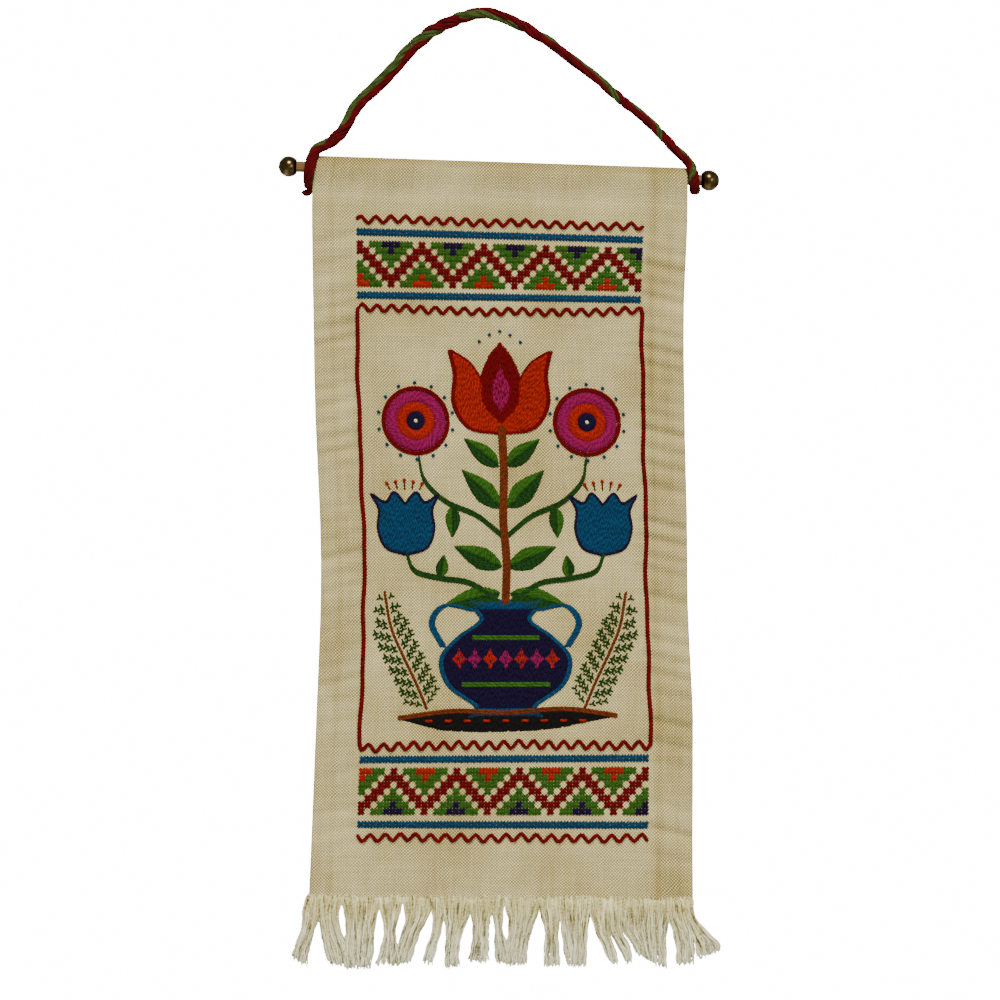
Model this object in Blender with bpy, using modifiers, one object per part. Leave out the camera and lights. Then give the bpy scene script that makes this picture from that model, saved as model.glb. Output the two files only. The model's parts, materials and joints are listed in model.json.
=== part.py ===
# Crewel wall hanging: a homespun cloth on a wooden rod with a brass ball at each end,
# held up by a twisted two-colour wool cord, with the cloth's own threads left as a fringe.
# Metres, +Z up, the worked side faces -Y.
# The origin is where a nail carries the cord: under the top of its arch.

import math

import bmesh
import bpy
from mathutils import Vector

MM = 0.001
CLEARANCE = 0.3 * MM

# Rod: a quarter-inch dowel that hangs lower on the right
ROD_RADIUS = 3.175 * MM
ROD_SIDES = 24
ROD_TILT = math.radians(1.91)
ROD_MIDDLE = Vector((9.8, 0.0, -88.75)) * MM

# Hollow balls pushed on the ends of the rod
BALL_SPACING = 242.5 * MM
BALL_RADIUS = 6.05 * MM
BALL_MOUTH = 4.27 * MM
BALL_LIP = 0.35 * MM
BALL_STEPS = 20
BALL_ARC_STEPS = 8
SOCKET_PAST_CENTRE = 2.0 * MM

# Cloth: its length is measured down the middle, from the top fold to the fringe's roots
CLOTH_LENGTH = 425.5 * MM
HEM_THICKNESS = 2.2 * MM
PLAIN_SHARE = 0.5
HEM_SHARE = 0.062
FOLD_RISE = 6.8 * MM
POCKET_HEIGHT = 22.0 * MM
POCKET_BULGE = 7.0 * MM
POCKET_STEPS = 12
SEAM_DEPTH = 1.6 * MM
FLAP_LENGTH = 5.0 * MM
ROW_SPACING = 7.5 * MM
HALF_COLUMNS = (0.0, 0.03, 0.06, 0.066, 0.11, 0.17, 0.26, 0.37)

# The cloth's side edges in millimetres: place down the cloth, left edge, right edge,
# and the slope of its weft there in degrees, down to the right
EDGE_COLUMNS = ("down", "left", "right", "slope")
EDGES = (
    (0.0, -95.5, 118.6, 1.91),
    (18.0, -97.8, 118.7, 1.91),
    (35.0, -98.2, 118.5, 1.76),
    (85.0, -97.5, 116.6, 0.91),
    (148.0, -96.2, 117.1, 0.55),
    (212.0, -93.4, 118.5, 0.30),
    (255.0, -93.2, 118.9, 0.10),
    (318.0, -95.6, 121.8, -0.20),
    (338.0, -96.4, 121.9, -0.28),
    (391.0, -98.5, 121.7, 0.29),
    (425.5, -100.0, 121.9, 0.60),
)

# Length of the cloth's lower edge
LOWER_EDGE = (EDGES[-1][2] - EDGES[-1][1]) * MM

# Slow waves of the whole panel, and the drawn-in ripples along its two margins
SWELL_DEPTH = 1.5 * MM
SWELL_TURNS = 0.75
SWELL_LEAD = 0.12
SWELL_PERIOD = 620.0 * MM
SWELL_START = 30.0 * MM
SWELL_FADE = 60.0 * MM
RIPPLE_REACH = 38.0 * MM
RIPPLE_HALF_WIDTH = 6.0 * MM
RIPPLE_SLANT = 0.22

# Ripples as place down the cloth and depth, in millimetres
LEFT_RIPPLES = (
    (66, 0.8), (85, 0.9), (105, 0.8), (132, 1.0), (161, 1.0), (224, 1.1), (302, 0.7), (354, 0.6),
)
RIGHT_RIPPLES = (
    (35, 0.6), (60, 0.9), (86, 0.9), (114, 0.8), (151, 1.0),
    (182, 1.0), (213, 1.0), (286, 0.8), (326, 0.9), (382, 0.6),
)

# Fringe: 100 locks in two layers, drawn together into clumps. A ring of a lock has its place
# down the lock and its width, both as shares
LOCKS = 100
STRIP_HEIGHT = 1.4 * MM
STRIP_DEPTH = 2.2 * MM
LOCK_RINGS = ((0.16, 0.85), (0.55, 0.72), (1.0, 0.5))
LOCK_DEPTH = 0.85 * MM
LAYER_SPREAD = 0.4 * MM
LOCK_UNEVENNESS = 1.6 * MM

# One row for each clump, as shares of the cloth's lower edge: where its roots end,
# and where its tips lie; then its length in millimetres
CLUMP_COLUMNS = ("root_end", "tip_left", "tip_right", "length")
CLUMPS = (
    (0.025, -0.050, -0.006, 36.0),
    (0.173, 0.051, 0.168, 39.2),
    (0.280, 0.173, 0.266, 38.1),
    (0.337, 0.293, 0.329, 37.0),
    (0.404, 0.345, 0.394, 38.0),
    (0.475, 0.417, 0.464, 35.8),
    (0.586, 0.488, 0.566, 36.4),
    (0.659, 0.612, 0.651, 37.5),
    (0.732, 0.667, 0.722, 36.4),
    (0.810, 0.758, 0.805, 34.6),
    (0.844, 0.815, 0.839, 34.0),
    (0.935, 0.852, 0.932, 35.8),
    (0.982, 0.948, 1.010, 35.8),
    (1.000, 1.022, 1.060, 31.0),
)

# Hanging cord: points on its middle in millimetres, from its left end round the rod,
# over the arch and round the rod again to its right end
CORD_ROUTE = (
    (-98.8, 3.4, -78.7), (-99.0, 5.8, -81.1), (-99.4, 6.8, -84.9), (-99.8, 6.2, -89.3),
    (-100.2, 3.8, -93.1), (-100.3, 0.2, -94.6), (-100.1, -3.4, -93.5), (-99.5, -6.1, -89.7),
    (-98.7, -6.8, -84.6), (-97.9, -6.3, -79.9), (-95.2, -5.2, -75.3), (-88.9, -4.0, -72.1),
    (-83.1, -3.2, -67.2), (-78.5, -2.7, -62.0), (-75.6, -2.4, -56.3), (-72.1, -2.1, -50.2),
    (-66.9, -1.8, -44.7), (-60.6, -1.5, -38.9), (-54.8, -1.2, -32.6), (-49.6, -0.9, -26.3),
    (-43.9, -0.6, -20.2), (-36.9, -0.4, -13.3), (-28.9, -0.2, -6.9), (-19.6, -0.1, -2.0),
    (-10.4, 0.0, 1.7), (-0.6, 0.0, 3.75), (9.2, 0.0, 2.3), (20.2, -0.1, -2.0),
    (31.2, -0.3, -8.4), (43.3, -0.6, -16.2), (55.4, -1.0, -25.7), (67.5, -1.4, -35.2),
    (80.2, -2.0, -46.2), (92.9, -2.7, -56.3), (102.7, -3.3, -65.8), (111.4, -4.1, -75.0),
    (118.3, -5.0, -81.9), (121.0, -5.7, -87.1), (122.2, -6.1, -92.5), (122.6, -4.8, -96.2),
    (122.8, -1.9, -98.3), (122.8, 1.9, -98.3), (122.7, 4.8, -96.2), (122.5, 6.1, -92.5),
    (122.3, 5.0, -88.7), (122.0, 2.4, -86.5),
)
CORD_STEP = 3.0 * MM
CORD_SECTION_POINTS = 10
CORD_SECTION_RADIUS = 3.0 * MM
CORD_WAIST = 0.22

# The cord's two plies: share of its length, half its width and one full turn in millimetres
CORD_COLUMNS = ("share", "half_width", "turn")
CORD_BODY = (
    (0.00, 2.6, 30.0),
    (0.12, 2.8, 40.0),
    (0.20, 3.5, 75.0),
    (0.32, 4.1, 75.0),
    (0.45, 3.6, 55.0),
    (0.52, 3.4, 42.0),
    (0.65, 3.2, 27.0),
    (0.88, 2.9, 26.0),
    (0.93, 2.5, 24.0),
    (1.00, 2.4, 22.0),
)

# The cut end of the tied cord, under the left loop
TAIL_ROUTE = ((-98.9, 2.6, -99.6), (-101.2, 1.6, -99.8), (-103.6, 0.2, -99.3))
TAIL_RADIUS = 2.0 * MM


def clear_scene():
    for thing in list(bpy.data.objects):
        bpy.data.objects.remove(thing)


def collection(name):
    made = bpy.data.collections.new(name)
    bpy.context.scene.collection.children.link(made)
    return made


def material(name, colour, roughness, metallic=0.0):
    made = bpy.data.materials.new(name)
    made.use_nodes = True
    shader = made.node_tree.nodes["Principled BSDF"]
    shader.inputs["Base Color"].default_value = (*colour, 1.0)
    shader.inputs["Roughness"].default_value = roughness
    shader.inputs["Metallic"].default_value = metallic
    return made


def add_object(name, data, finish, group):
    made = bpy.data.objects.new(name, data)
    data.materials.append(finish)
    group.objects.link(made)
    return made


def add_mesh_object(name, shape, finish, group):
    mesh = bpy.data.meshes.new(name)
    shape.to_mesh(mesh)
    shape.free()
    mesh.shade_smooth()
    mesh.set_sharp_from_angle(angle=math.radians(40))
    return add_object(name, mesh, finish, group)


def smooth(rows, column, at):
    """One column of a table, read at a place between its rows along a smooth curve."""
    last = len(rows) - 1
    after = next((i for i in range(1, last) if rows[i][0] > at), last)
    before = after - 1

    def rise(i):
        low = max(i - 1, 0)
        high = min(i + 1, last)
        return (rows[high][column] - rows[low][column]) / (rows[high][0] - rows[low][0])

    gap = rows[after][0] - rows[before][0]
    part = min(max((at - rows[before][0]) / gap, 0.0), 1.0)
    start, end = rows[before][column], rows[after][column]
    return (
        start * (1 + 2 * part) * (1 - part) ** 2
        + end * part * part * (3 - 2 * part)
        + gap * part * (1 - part) * (rise(before) * (1 - part) - rise(after) * part)
    )


def ease(part):
    part = min(max(part, 0.0), 1.0)
    return part * part * (3 - 2 * part)


def hem_weight(across):
    return 1.0 if min(across, 1 - across) < HEM_SHARE else 0.0


def sheet_thickness(across):
    return HEM_THICKNESS * (PLAIN_SHARE + (1 - PLAIN_SHARE) * hem_weight(across))


def cloth_line(across, down):
    """Where a thread crossing lies in the front view: a share across, a distance down."""
    place = down / MM
    left = smooth(EDGES, EDGE_COLUMNS.index("left"), place) * MM
    right = smooth(EDGES, EDGE_COLUMNS.index("right"), place) * MM
    slope = math.radians(smooth(EDGES, EDGE_COLUMNS.index("slope"), place))
    x = left + (right - left) * across
    z = ROD_MIDDLE.z + FOLD_RISE - down - math.tan(slope) * (x - ROD_MIDDLE.x)
    return x, z


def ripple_depth(ripples, from_edge, down):
    inward = max(0.0, 1 - from_edge / RIPPLE_REACH) ** 2
    total = 0.0
    for place, depth in ripples:
        offset = (down + RIPPLE_SLANT * from_edge - place * MM) / RIPPLE_HALF_WIDTH
        total += depth * MM * math.exp(-offset * offset)
    return inward * total


def drape(across, down):
    """How far the panel stands back from its plane."""
    fade = ease((down - SWELL_START) / SWELL_FADE)
    swell = SWELL_DEPTH * math.sin(math.tau * (SWELL_TURNS * across + SWELL_LEAD))
    swell *= math.cos(math.tau * down / SWELL_PERIOD)
    width = cloth_line(1.0, down)[0] - cloth_line(0.0, down)[0]
    ripples = ripple_depth(LEFT_RIPPLES, across * width, down)
    ripples += ripple_depth(RIGHT_RIPPLES, (1 - across) * width, down)
    return fade * swell + ease((down - POCKET_HEIGHT) / SWELL_START) * ripples


def pocket_half_depth(down):
    """Half the depth of the pear-shaped pocket at a distance under the fold."""
    angle = math.acos(1 - 2 * min(down / POCKET_HEIGHT, 1.0))
    return POCKET_BULGE * math.sin(angle) * math.cos(angle / 2) + SEAM_DEPTH * math.sin(angle / 2) ** 2


def front_depth(across, down):
    if down < POCKET_HEIGHT:
        return -pocket_half_depth(down)
    return -SEAM_DEPTH + drape(across, down)


def back_depth(across, down):
    """The outer face behind the rod: the pocket's back, then the flap under its seam."""
    layers = 2 * sheet_thickness(across) + CLEARANCE
    flap = front_depth(across, max(down, POCKET_HEIGHT)) + layers
    if down >= POCKET_HEIGHT:
        return flap
    drawn_in = ease(2 * down / POCKET_HEIGHT - 1)
    return pocket_half_depth(down) + (flap - SEAM_DEPTH) * drawn_in


def sheet_rows():
    """Rows of the sheet from the fringe's roots up the front, over the rod and down behind."""
    panel_steps = round((CLOTH_LENGTH - POCKET_HEIGHT) / ROW_SPACING)
    panel = [
        POCKET_HEIGHT + (CLOTH_LENGTH - POCKET_HEIGHT) * step / panel_steps
        for step in range(panel_steps, 0, -1)
    ]
    pocket = [
        POCKET_HEIGHT * (1 - math.cos(math.pi * step / POCKET_STEPS)) / 2
        for step in range(POCKET_STEPS, 0, -1)
    ]
    flap = [POCKET_HEIGHT + FLAP_LENGTH]
    front = [(down, front_depth) for down in panel + pocket + [0.0]]
    behind = [(down, back_depth) for down in pocket[::-1] + flap]
    return front + behind


def build_cloth(finish, group):
    columns = HALF_COLUMNS + (0.5,) + tuple(1 - share for share in HALF_COLUMNS[::-1])
    rows = sheet_rows()
    shape = bmesh.new()
    bmesh.ops.create_grid(shape, x_segments=len(columns) - 1, y_segments=len(rows) - 1, size=0.5)
    weights = shape.verts.layers.deform.verify()
    for vert in shape.verts:
        across = columns[round((vert.co.x + 0.5) * (len(columns) - 1))]
        down, depth = rows[round((vert.co.y + 0.5) * (len(rows) - 1))]
        x, z = cloth_line(across, down)
        vert.co = (x, depth(across, down), z)
        vert[weights][0] = hem_weight(across)
    cloth = add_mesh_object("cloth", shape, finish, group)
    cloth.vertex_groups.new(name="hems")
    thicken = cloth.modifiers.new("Thickness", "SOLIDIFY")
    thicken.thickness = HEM_THICKNESS
    thicken.offset = -1.0
    thicken.vertex_group = "hems"
    thicken.thickness_vertex_group = PLAIN_SHARE
    return cloth


def clump_of(share):
    """Where the tip of a lock lies along the lower edge, and how long the lock is."""
    start = 0.0
    for root_end, tip_left, tip_right, length in CLUMPS:
        if share <= root_end:
            place = (share - start) / (root_end - start)
            return tip_left + (tip_right - tip_left) * place, length * MM
        start = root_end
    raise ValueError("a lock's root lies past the last clump")


def edge_place(share):
    """A point just under the cloth's lower edge, in the middle of the strip's depth."""
    x, z = cloth_line(share, CLOTH_LENGTH)
    return Vector((x, front_depth(share, CLOTH_LENGTH) + STRIP_DEPTH / 2, z - CLEARANCE))


def build_strip():
    """The narrow strip as a box of cells, two deep, along the cloth's lower edge."""
    shape = bmesh.new()
    bmesh.ops.create_grid(shape, x_segments=LOCKS, y_segments=2, size=0.5)
    bottom = list(shape.faces)
    raised = bmesh.ops.extrude_face_region(shape, geom=bottom, use_keep_orig=True)
    top = {part for part in raised["geom"] if isinstance(part, bmesh.types.BMVert)}
    cells = []
    for face in bottom:
        middle = face.calc_center_median()
        cells.append((face, math.floor((middle.x + 0.5) * LOCKS), middle.y > 0))
    for vert in shape.verts:
        place = edge_place(vert.co.x + 0.5)
        drop = 0.0 if vert in top else STRIP_HEIGHT
        vert.co = place + Vector((0.0, vert.co.y * STRIP_DEPTH, -drop))
    bmesh.ops.recalc_face_normals(shape, faces=shape.faces)
    return shape, cells


def grow_lock(shape, root, number, behind):
    """Draws one lock out of its cell of the strip, ring by ring."""
    share = (number + 0.5) / LOCKS
    tip_share, length = clump_of(share)
    start = root.calc_center_median()
    sideways = (tip_share - share) * LOWER_EDGE
    length += LOCK_UNEVENNESS * math.sin(2.4 * number)
    layer = LAYER_SPREAD if behind else -LAYER_SPREAD
    face = root
    for fall, width in LOCK_RINGS:
        face = bmesh.ops.extrude_discrete_faces(shape, faces=[face])["faces"][0]
        old_middle = face.calc_center_median()
        middle = start + Vector((sideways, 0.0, -length)) * fall
        middle.y += layer * fall
        for vert in face.verts:
            side = math.copysign(LOWER_EDGE / LOCKS / 2 * width, vert.co.x - old_middle.x)
            deep = math.copysign(LOCK_DEPTH / 2, vert.co.y - old_middle.y)
            vert.co = middle + Vector((side, deep, 0.0))


def build_fringe(finish, group):
    shape, cells = build_strip()
    for face, number, behind in cells:
        if (number % 2 == 0) == behind:
            grow_lock(shape, face, number, behind)
    return add_mesh_object("fringe", shape, finish, group)


def rod_frame(group):
    frame = bpy.data.objects.new("rod_frame", None)
    frame.location = ROD_MIDDLE
    frame.rotation_euler = (0.0, ROD_TILT, 0.0)
    frame.hide_render = True
    group.objects.link(frame)
    return frame


def build_rod(finish, group, frame):
    shape = bmesh.new()
    length = BALL_SPACING + 2 * (SOCKET_PAST_CENTRE - CLEARANCE)
    bmesh.ops.create_cone(
        shape, cap_ends=True, segments=ROD_SIDES, radius1=ROD_RADIUS, radius2=ROD_RADIUS, depth=length
    )
    rod = add_mesh_object("rod", shape, finish, group)
    rod.parent = frame
    rod.rotation_euler = (0.0, math.pi / 2, 0.0)
    return rod


def ball_profile():
    """From the pole down the outside, round the mouth's lip and up the socket to its end."""
    socket = ROD_RADIUS + CLEARANCE
    mouth_angle = math.acos(-BALL_MOUTH / BALL_RADIUS)
    angles = [mouth_angle * i / BALL_ARC_STEPS for i in range(BALL_ARC_STEPS + 1)]
    arc = [(BALL_RADIUS * math.sin(angle), BALL_RADIUS * math.cos(angle)) for angle in angles]
    lip = [(arc[-1][0] - BALL_LIP, -BALL_MOUTH - BALL_LIP / 2), (socket, -BALL_MOUTH)]
    return arc + lip + [(socket, SOCKET_PAST_CENTRE), (0.0, SOCKET_PAST_CENTRE)]


def build_ball(name, side, finish, group, frame):
    points = ball_profile()
    mesh = bpy.data.meshes.new(name)
    edges = [(i, i + 1) for i in range(len(points) - 1)]
    mesh.from_pydata([(x, 0.0, z) for x, z in points], edges, [])
    ball = add_object(name, mesh, finish, group)
    turn = ball.modifiers.new("Turned shape", "SCREW")
    turn.steps = BALL_STEPS
    turn.render_steps = BALL_STEPS
    turn.use_merge_vertices = True
    turn.merge_threshold = 1e-5
    turn.use_smooth_shade = True
    ball.parent = frame
    ball.location = (side * BALL_SPACING / 2, 0.0, 0.0)
    ball.rotation_euler = (0.0, side * math.pi / 2, 0.0)
    return ball


def curve_through(route, step):
    """Evenly spaced points on a smooth curve through the route's own points."""
    points = [Vector(point) * MM for point in route]
    padded = [2 * points[0] - points[1]] + points + [2 * points[-1] - points[-2]]
    fine = []
    for i in range(len(points) - 1):
        before, start, end, after = padded[i : i + 4]
        for k in range(12):
            t = k / 12
            fine.append(
                0.5
                * (
                    2 * start
                    + (end - before) * t
                    + (2 * before - 5 * start + 4 * end - after) * t ** 2
                    + (3 * start - before - 3 * end + after) * t ** 3
                )
            )
    fine.append(points[-1])
    reach = [0.0]
    for a, b in zip(fine, fine[1:]):
        reach.append(reach[-1] + (b - a).length)
    count = round(reach[-1] / step)
    even = []
    k = 0
    for i in range(count + 1):
        wanted = reach[-1] * i / count
        while k < len(fine) - 2 and reach[k + 1] < wanted:
            k += 1
        share = (wanted - reach[k]) / (reach[k + 1] - reach[k])
        even.append(fine[k].lerp(fine[k + 1], share))
    return even, reach[-1]


def curve_object(name, points, finish, group):
    curve = bpy.data.curves.new(name, "CURVE")
    curve.dimensions = "3D"
    curve.use_fill_caps = True
    spline = curve.splines.new("POLY")
    spline.points.add(len(points) - 1)
    for place, point in zip(spline.points, points):
        place.co = (*point, 1.0)
    return add_object(name, curve, finish, group)


def cord_section(group):
    """Two plies side by side, as one outline with a waist."""
    curve = bpy.data.curves.new("cord_section", "CURVE")
    curve.dimensions = "2D"
    spline = curve.splines.new("POLY")
    spline.use_cyclic_u = True
    spline.points.add(CORD_SECTION_POINTS - 1)
    for i, place in enumerate(spline.points):
        angle = -math.tau * i / CORD_SECTION_POINTS
        reach = CORD_SECTION_RADIUS * (1 - CORD_WAIST + CORD_WAIST * math.cos(2 * angle))
        place.co = (reach * math.cos(angle), reach * math.sin(angle), 0.0, 1.0)
    section = bpy.data.objects.new("cord_section", curve)
    section.hide_render = True
    section.display_type = "WIRE"
    group.objects.link(section)
    return section


def build_cord(finish, group, guides):
    points, length = curve_through(CORD_ROUTE, CORD_STEP)
    cord = curve_object("hanging_cord", points, finish, group)
    cord.data.bevel_mode = "OBJECT"
    cord.data.bevel_object = cord_section(guides)
    twist = 0.0
    last = len(points) - 1
    for i, place in enumerate(cord.data.splines[0].points):
        share = i / last
        place.radius = smooth(CORD_BODY, CORD_COLUMNS.index("half_width"), share) * MM / CORD_SECTION_RADIUS
        place.tilt = twist
        turn = smooth(CORD_BODY, CORD_COLUMNS.index("turn"), share) * MM
        twist += math.tau * length / last / turn
    return cord


def build_cord_tail(finish, group):
    points, _ = curve_through(TAIL_ROUTE, TAIL_RADIUS)
    tail = curve_object("cord_tail_left", points, finish, group)
    tail.data.bevel_depth = TAIL_RADIUS
    tail.data.bevel_resolution = 2
    return tail


def main():
    clear_scene()
    hanging = collection("crewel_wall_hanging")
    guides = collection("guides")
    linen = material("homespun_cloth", (0.50, 0.43, 0.25), 0.9)
    threads = material("fringe_threads", (0.60, 0.54, 0.37), 0.9)
    wood = material("dowel_wood", (0.33, 0.19, 0.08), 0.6)
    brass = material("antique_brass", (0.33, 0.24, 0.10), 0.3, metallic=1.0)
    wool = material("cord_wool", (0.13, 0.02, 0.01), 0.9)
    frame = rod_frame(hanging)
    build_cloth(linen, hanging)
    build_fringe(threads, hanging)
    build_rod(wood, hanging, frame)
    build_ball("finial_left", -1, brass, hanging, frame)
    build_ball("finial_right", 1, brass, hanging, frame)
    build_cord(wool, hanging, guides)
    build_cord_tail(wool, hanging)


main()
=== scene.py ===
# The looks of a crewel wall hanging: homespun cloth with wool stitches, its fringe of loose
# threads, the twisted wool cord, the brass balls and the dowel. Metres, +Z up, worked side at -Y.

import json
import math
import random

import bpy
import numpy as np
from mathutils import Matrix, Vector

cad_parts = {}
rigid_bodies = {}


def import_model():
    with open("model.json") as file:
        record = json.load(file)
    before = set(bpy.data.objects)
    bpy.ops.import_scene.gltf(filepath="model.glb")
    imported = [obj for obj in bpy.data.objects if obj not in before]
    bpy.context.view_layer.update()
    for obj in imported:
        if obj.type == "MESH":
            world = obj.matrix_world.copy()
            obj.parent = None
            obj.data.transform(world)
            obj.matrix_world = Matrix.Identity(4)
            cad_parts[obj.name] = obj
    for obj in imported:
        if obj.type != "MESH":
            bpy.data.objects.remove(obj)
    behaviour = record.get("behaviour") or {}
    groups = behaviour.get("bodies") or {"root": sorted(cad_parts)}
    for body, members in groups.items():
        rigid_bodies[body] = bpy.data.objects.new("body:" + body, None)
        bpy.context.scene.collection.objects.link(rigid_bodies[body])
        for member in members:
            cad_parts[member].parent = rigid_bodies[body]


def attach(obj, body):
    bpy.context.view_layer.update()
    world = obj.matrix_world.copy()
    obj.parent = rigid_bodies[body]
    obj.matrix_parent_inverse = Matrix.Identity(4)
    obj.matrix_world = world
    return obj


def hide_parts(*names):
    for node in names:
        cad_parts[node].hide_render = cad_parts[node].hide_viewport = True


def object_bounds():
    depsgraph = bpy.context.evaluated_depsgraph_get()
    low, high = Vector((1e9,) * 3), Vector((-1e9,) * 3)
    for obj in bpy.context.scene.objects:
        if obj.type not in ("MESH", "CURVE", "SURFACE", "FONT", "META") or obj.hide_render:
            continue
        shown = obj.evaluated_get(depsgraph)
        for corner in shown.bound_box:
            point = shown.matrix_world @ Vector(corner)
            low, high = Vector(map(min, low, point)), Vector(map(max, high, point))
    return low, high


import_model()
CAD_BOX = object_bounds()

MM = 0.001
TURN = 2 * math.pi

# Camera: straight in front of the middle of the photographed square
PHOTO_SIDE = 577.0 * MM
PHOTO_MIDDLE = (10.4 * MM, -277.2 * MM)
CAMERA_DISTANCE = 3.0
SENSOR = 36.0
FLOOR_DROP = 150.0 * MM
FLOOR_HALF = 0.7

# Lights: name, place in metres, width, power and colour. Then the soft light from all round,
# and the white that the camera sees behind
WHITE = (1.0, 1.0, 1.0, 1.0)
LIGHTS = (
    ("key", (0.05, -2.1, 2.05), 0.95, 131.0, (1.0, 0.985, 0.95)),
    ("fill", (1.2, -1.9, 0.0), 0.9, 15.0, WHITE[:3]),
    ("back", (0.5, 1.8, 0.8), 1.2, 24.0, WHITE[:3]),
)
DAYLIGHT = 0.42
BACKGROUND_GLOW = 16.0

# Rod and balls, in millimetres
ROD_TILT = math.radians(1.91)
ROD_MIDDLE = (9.8, 0.0, -88.75)
BALL_SPACING = 242.5
BALL_RADIUS = 6.05
BALL_MOUTH = 4.27
BALL_LIP = 0.35
BALL_SOCKET = 3.475
BALL_FLOOR = 2.0
BALL_SEGMENTS = 56

# Cloth, in millimetres: places on it are a distance across at its nominal width, and a
# distance down from the fold over the rod
CLOTH_WIDTH = 216.0
CLOTH_LENGTH = 425.5
CLOTH_THICKNESS = 0.85
HEM_FOLD = 1.95
LEFT_HEM = 14.0
RIGHT_HEM = 20.0
FOLD_RISE = 6.8
POCKET_HEIGHT = 22.0
POCKET_BULGE = 8.0
SEAM_DEPTH = 1.6
FLAP_LENGTH = 5.0
HEM_MARK_START = 8.0
HEM_MARK_FADE = 16.0
HEM_STEP = 0.45
HEM_STEP_WIDTH = 2.4
HEM_RIDGE = 0.3
HEM_RIDGE_INSET = 0.6
HEM_RIDGE_WIDTH = 1.1
CLEARANCE = 0.3
SOLID_SHEET = 1.1
SOLID_HEM = 2.2
SOLID_HEM_SHARE = 0.062

# Rows and columns of the cloth's mesh
PANEL_ROWS = 250
PANEL_COLUMNS = 109
POCKET_ROWS = 16

# The cloth's edges in millimetres: down, left edge, right edge, slope of the weft in degrees
EDGES = (
    (0.0, -95.5, 118.6, 1.91),
    (18.0, -97.8, 118.7, 1.91),
    (35.0, -98.2, 118.5, 1.76),
    (85.0, -97.5, 116.6, 0.91),
    (148.0, -96.2, 117.1, 0.55),
    (212.0, -93.4, 118.5, 0.30),
    (255.0, -93.2, 118.9, 0.10),
    (318.0, -95.6, 121.8, -0.20),
    (338.0, -96.4, 121.9, -0.28),
    (391.0, -98.5, 121.7, 0.29),
    (425.5, -100.0, 121.9, 0.60),
)

# Slow waves of the panel, then the drawn-in ripples of its margins as place down and depth
SWELL_DEPTH = 1.5
SWELL_TURNS = 0.75
SWELL_LEAD = 0.12
SWELL_PERIOD = 620.0
SWELL_START = 30.0
SWELL_FADE = 60.0
RIPPLE_REACH = 32.0
RIPPLE_FADE = 12.0
RIPPLE_SLANT = 0.22
RIPPLE_MIDDLE = 11.0
LEFT_RIPPLES = (
    (28.6, 0.7), (47.8, 0.9), (60.8, 0.9), (66.4, 1.0), (78.8, 0.7), (86.1, 1.0), (96.9, 1.4),
    (105.5, 1.5), (113.5, 0.5), (123.2, 0.6), (131.3, 1.0), (141.0, 1.0), (150.7, 0.8),
    (159.9, 1.4), (168.5, 1.4), (178.2, 0.6), (199.5, 0.4), (208.6, 0.5), (217.8, 0.6),
    (228.1, 1.8), (239.0, 0.7), (247.0, 0.8), (260.2, 0.6), (270.0, 0.6), (282.0, 0.5),
    (290.0, 0.7), (300.3, 1.3), (311.2, 0.5), (323.2, 0.8), (354.0, 0.8), (375.1, 0.7),
    (386.8, 0.6), (397.3, 0.4), (406.1, 0.5),
)
RIGHT_RIPPLES = (
    (14.2, 0.5), (29.9, 0.9), (41.7, 0.6), (50.1, 0.9), (60.2, 1.9), (69.7, 0.9), (78.7, 1.5),
    (90.5, 0.7), (99.3, 1.1), (109.2, 1.8), (118.5, 1.4), (127.3, 0.7), (138.3, 0.6),
    (146.5, 1.1), (156.4, 2.2), (166.9, 1.1), (176.8, 1.5), (189.0, 1.6), (209.9, 2.2),
    (219.8, 2.0), (229.7, 1.1), (237.8, 1.2), (252.9, 1.4), (267.5, 1.0), (278.0, 1.3),
    (288.5, 1.3), (297.8, 1.3), (309.4, 0.8), (325.7, 1.7), (337.9, 1.4), (348.7, 0.7),
    (372.5, 0.8), (387.2, 2.2), (401.9, 1.0),
)
RIPPLE_HALF_WIDTH = 2.9
RIPPLE_GAIN = 1.5

# Weave: its pitch in millimetres. Then painted shading by place: painted shade on the fold over the rod and
# painted light on the cloth below it, where 1 is the reach in millimetres; and painted shade along the lines
# where the hems lie behind, by share of the cloth's width
WEAVE_PITCH = 0.9
FOLD_PAINTED_SHADING_REACH = 30.0
FOLD_PAINTED_SHADING = ((0.0, 0.0), (0.06, 0.02), (0.18, 0.38), (0.32, 0.5), (0.6, 0.78), (0.74, 0.7), (0.95, 0.5))
HEM_PAINTED_SHADE = (
    (0.040, 0.0), (0.053, 0.5), (0.066, 0.0), (0.890, 0.0), (0.911, 1.0), (0.926, 0.4),
    (0.960, 0.4), (0.980, 0.0),
)

# Borders, in millimetres on the cloth
BAND_LEFT = 0.120 * CLOTH_WIDTH
BAND_RIGHT = 0.882 * CLOTH_WIDTH
FRAME_LEFT = 0.119 * CLOTH_WIDTH
FRAME_RIGHT = 0.887 * CLOTH_WIDTH
FRAME_TOP = 85.0
FRAME_BOTTOM = 337.6
ZIGZAG_RISE = 2.0
ZIGZAG_YARN = 2.2
BLUE_ROWS = (42.9, 78.4, 344.6, 382.6)
BAND_COLUMNS = 46
BAND_ROWS = 7
BAND_PITCH = (BAND_RIGHT - BAND_LEFT) / BAND_COLUMNS
REPEAT = 10

# Stitches: a yarn's lift off the cloth as a share of its width, and half a cross stitch as a
# share of its square. The rest is in millimetres
YARN_LIFT = 0.30
CROSS_HALF = 0.52
CROSS_YARN = 1.08
STEM_REACH = 4.6
STEM_ADVANCE = 2.3
SATIN_SPACING = 0.74
SATIN_LONGEST = 9.5
WHEEL_SPACING = 0.86
KNOT_YARN = 0.47
HEM_STITCH_SPACING = 6.5
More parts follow.
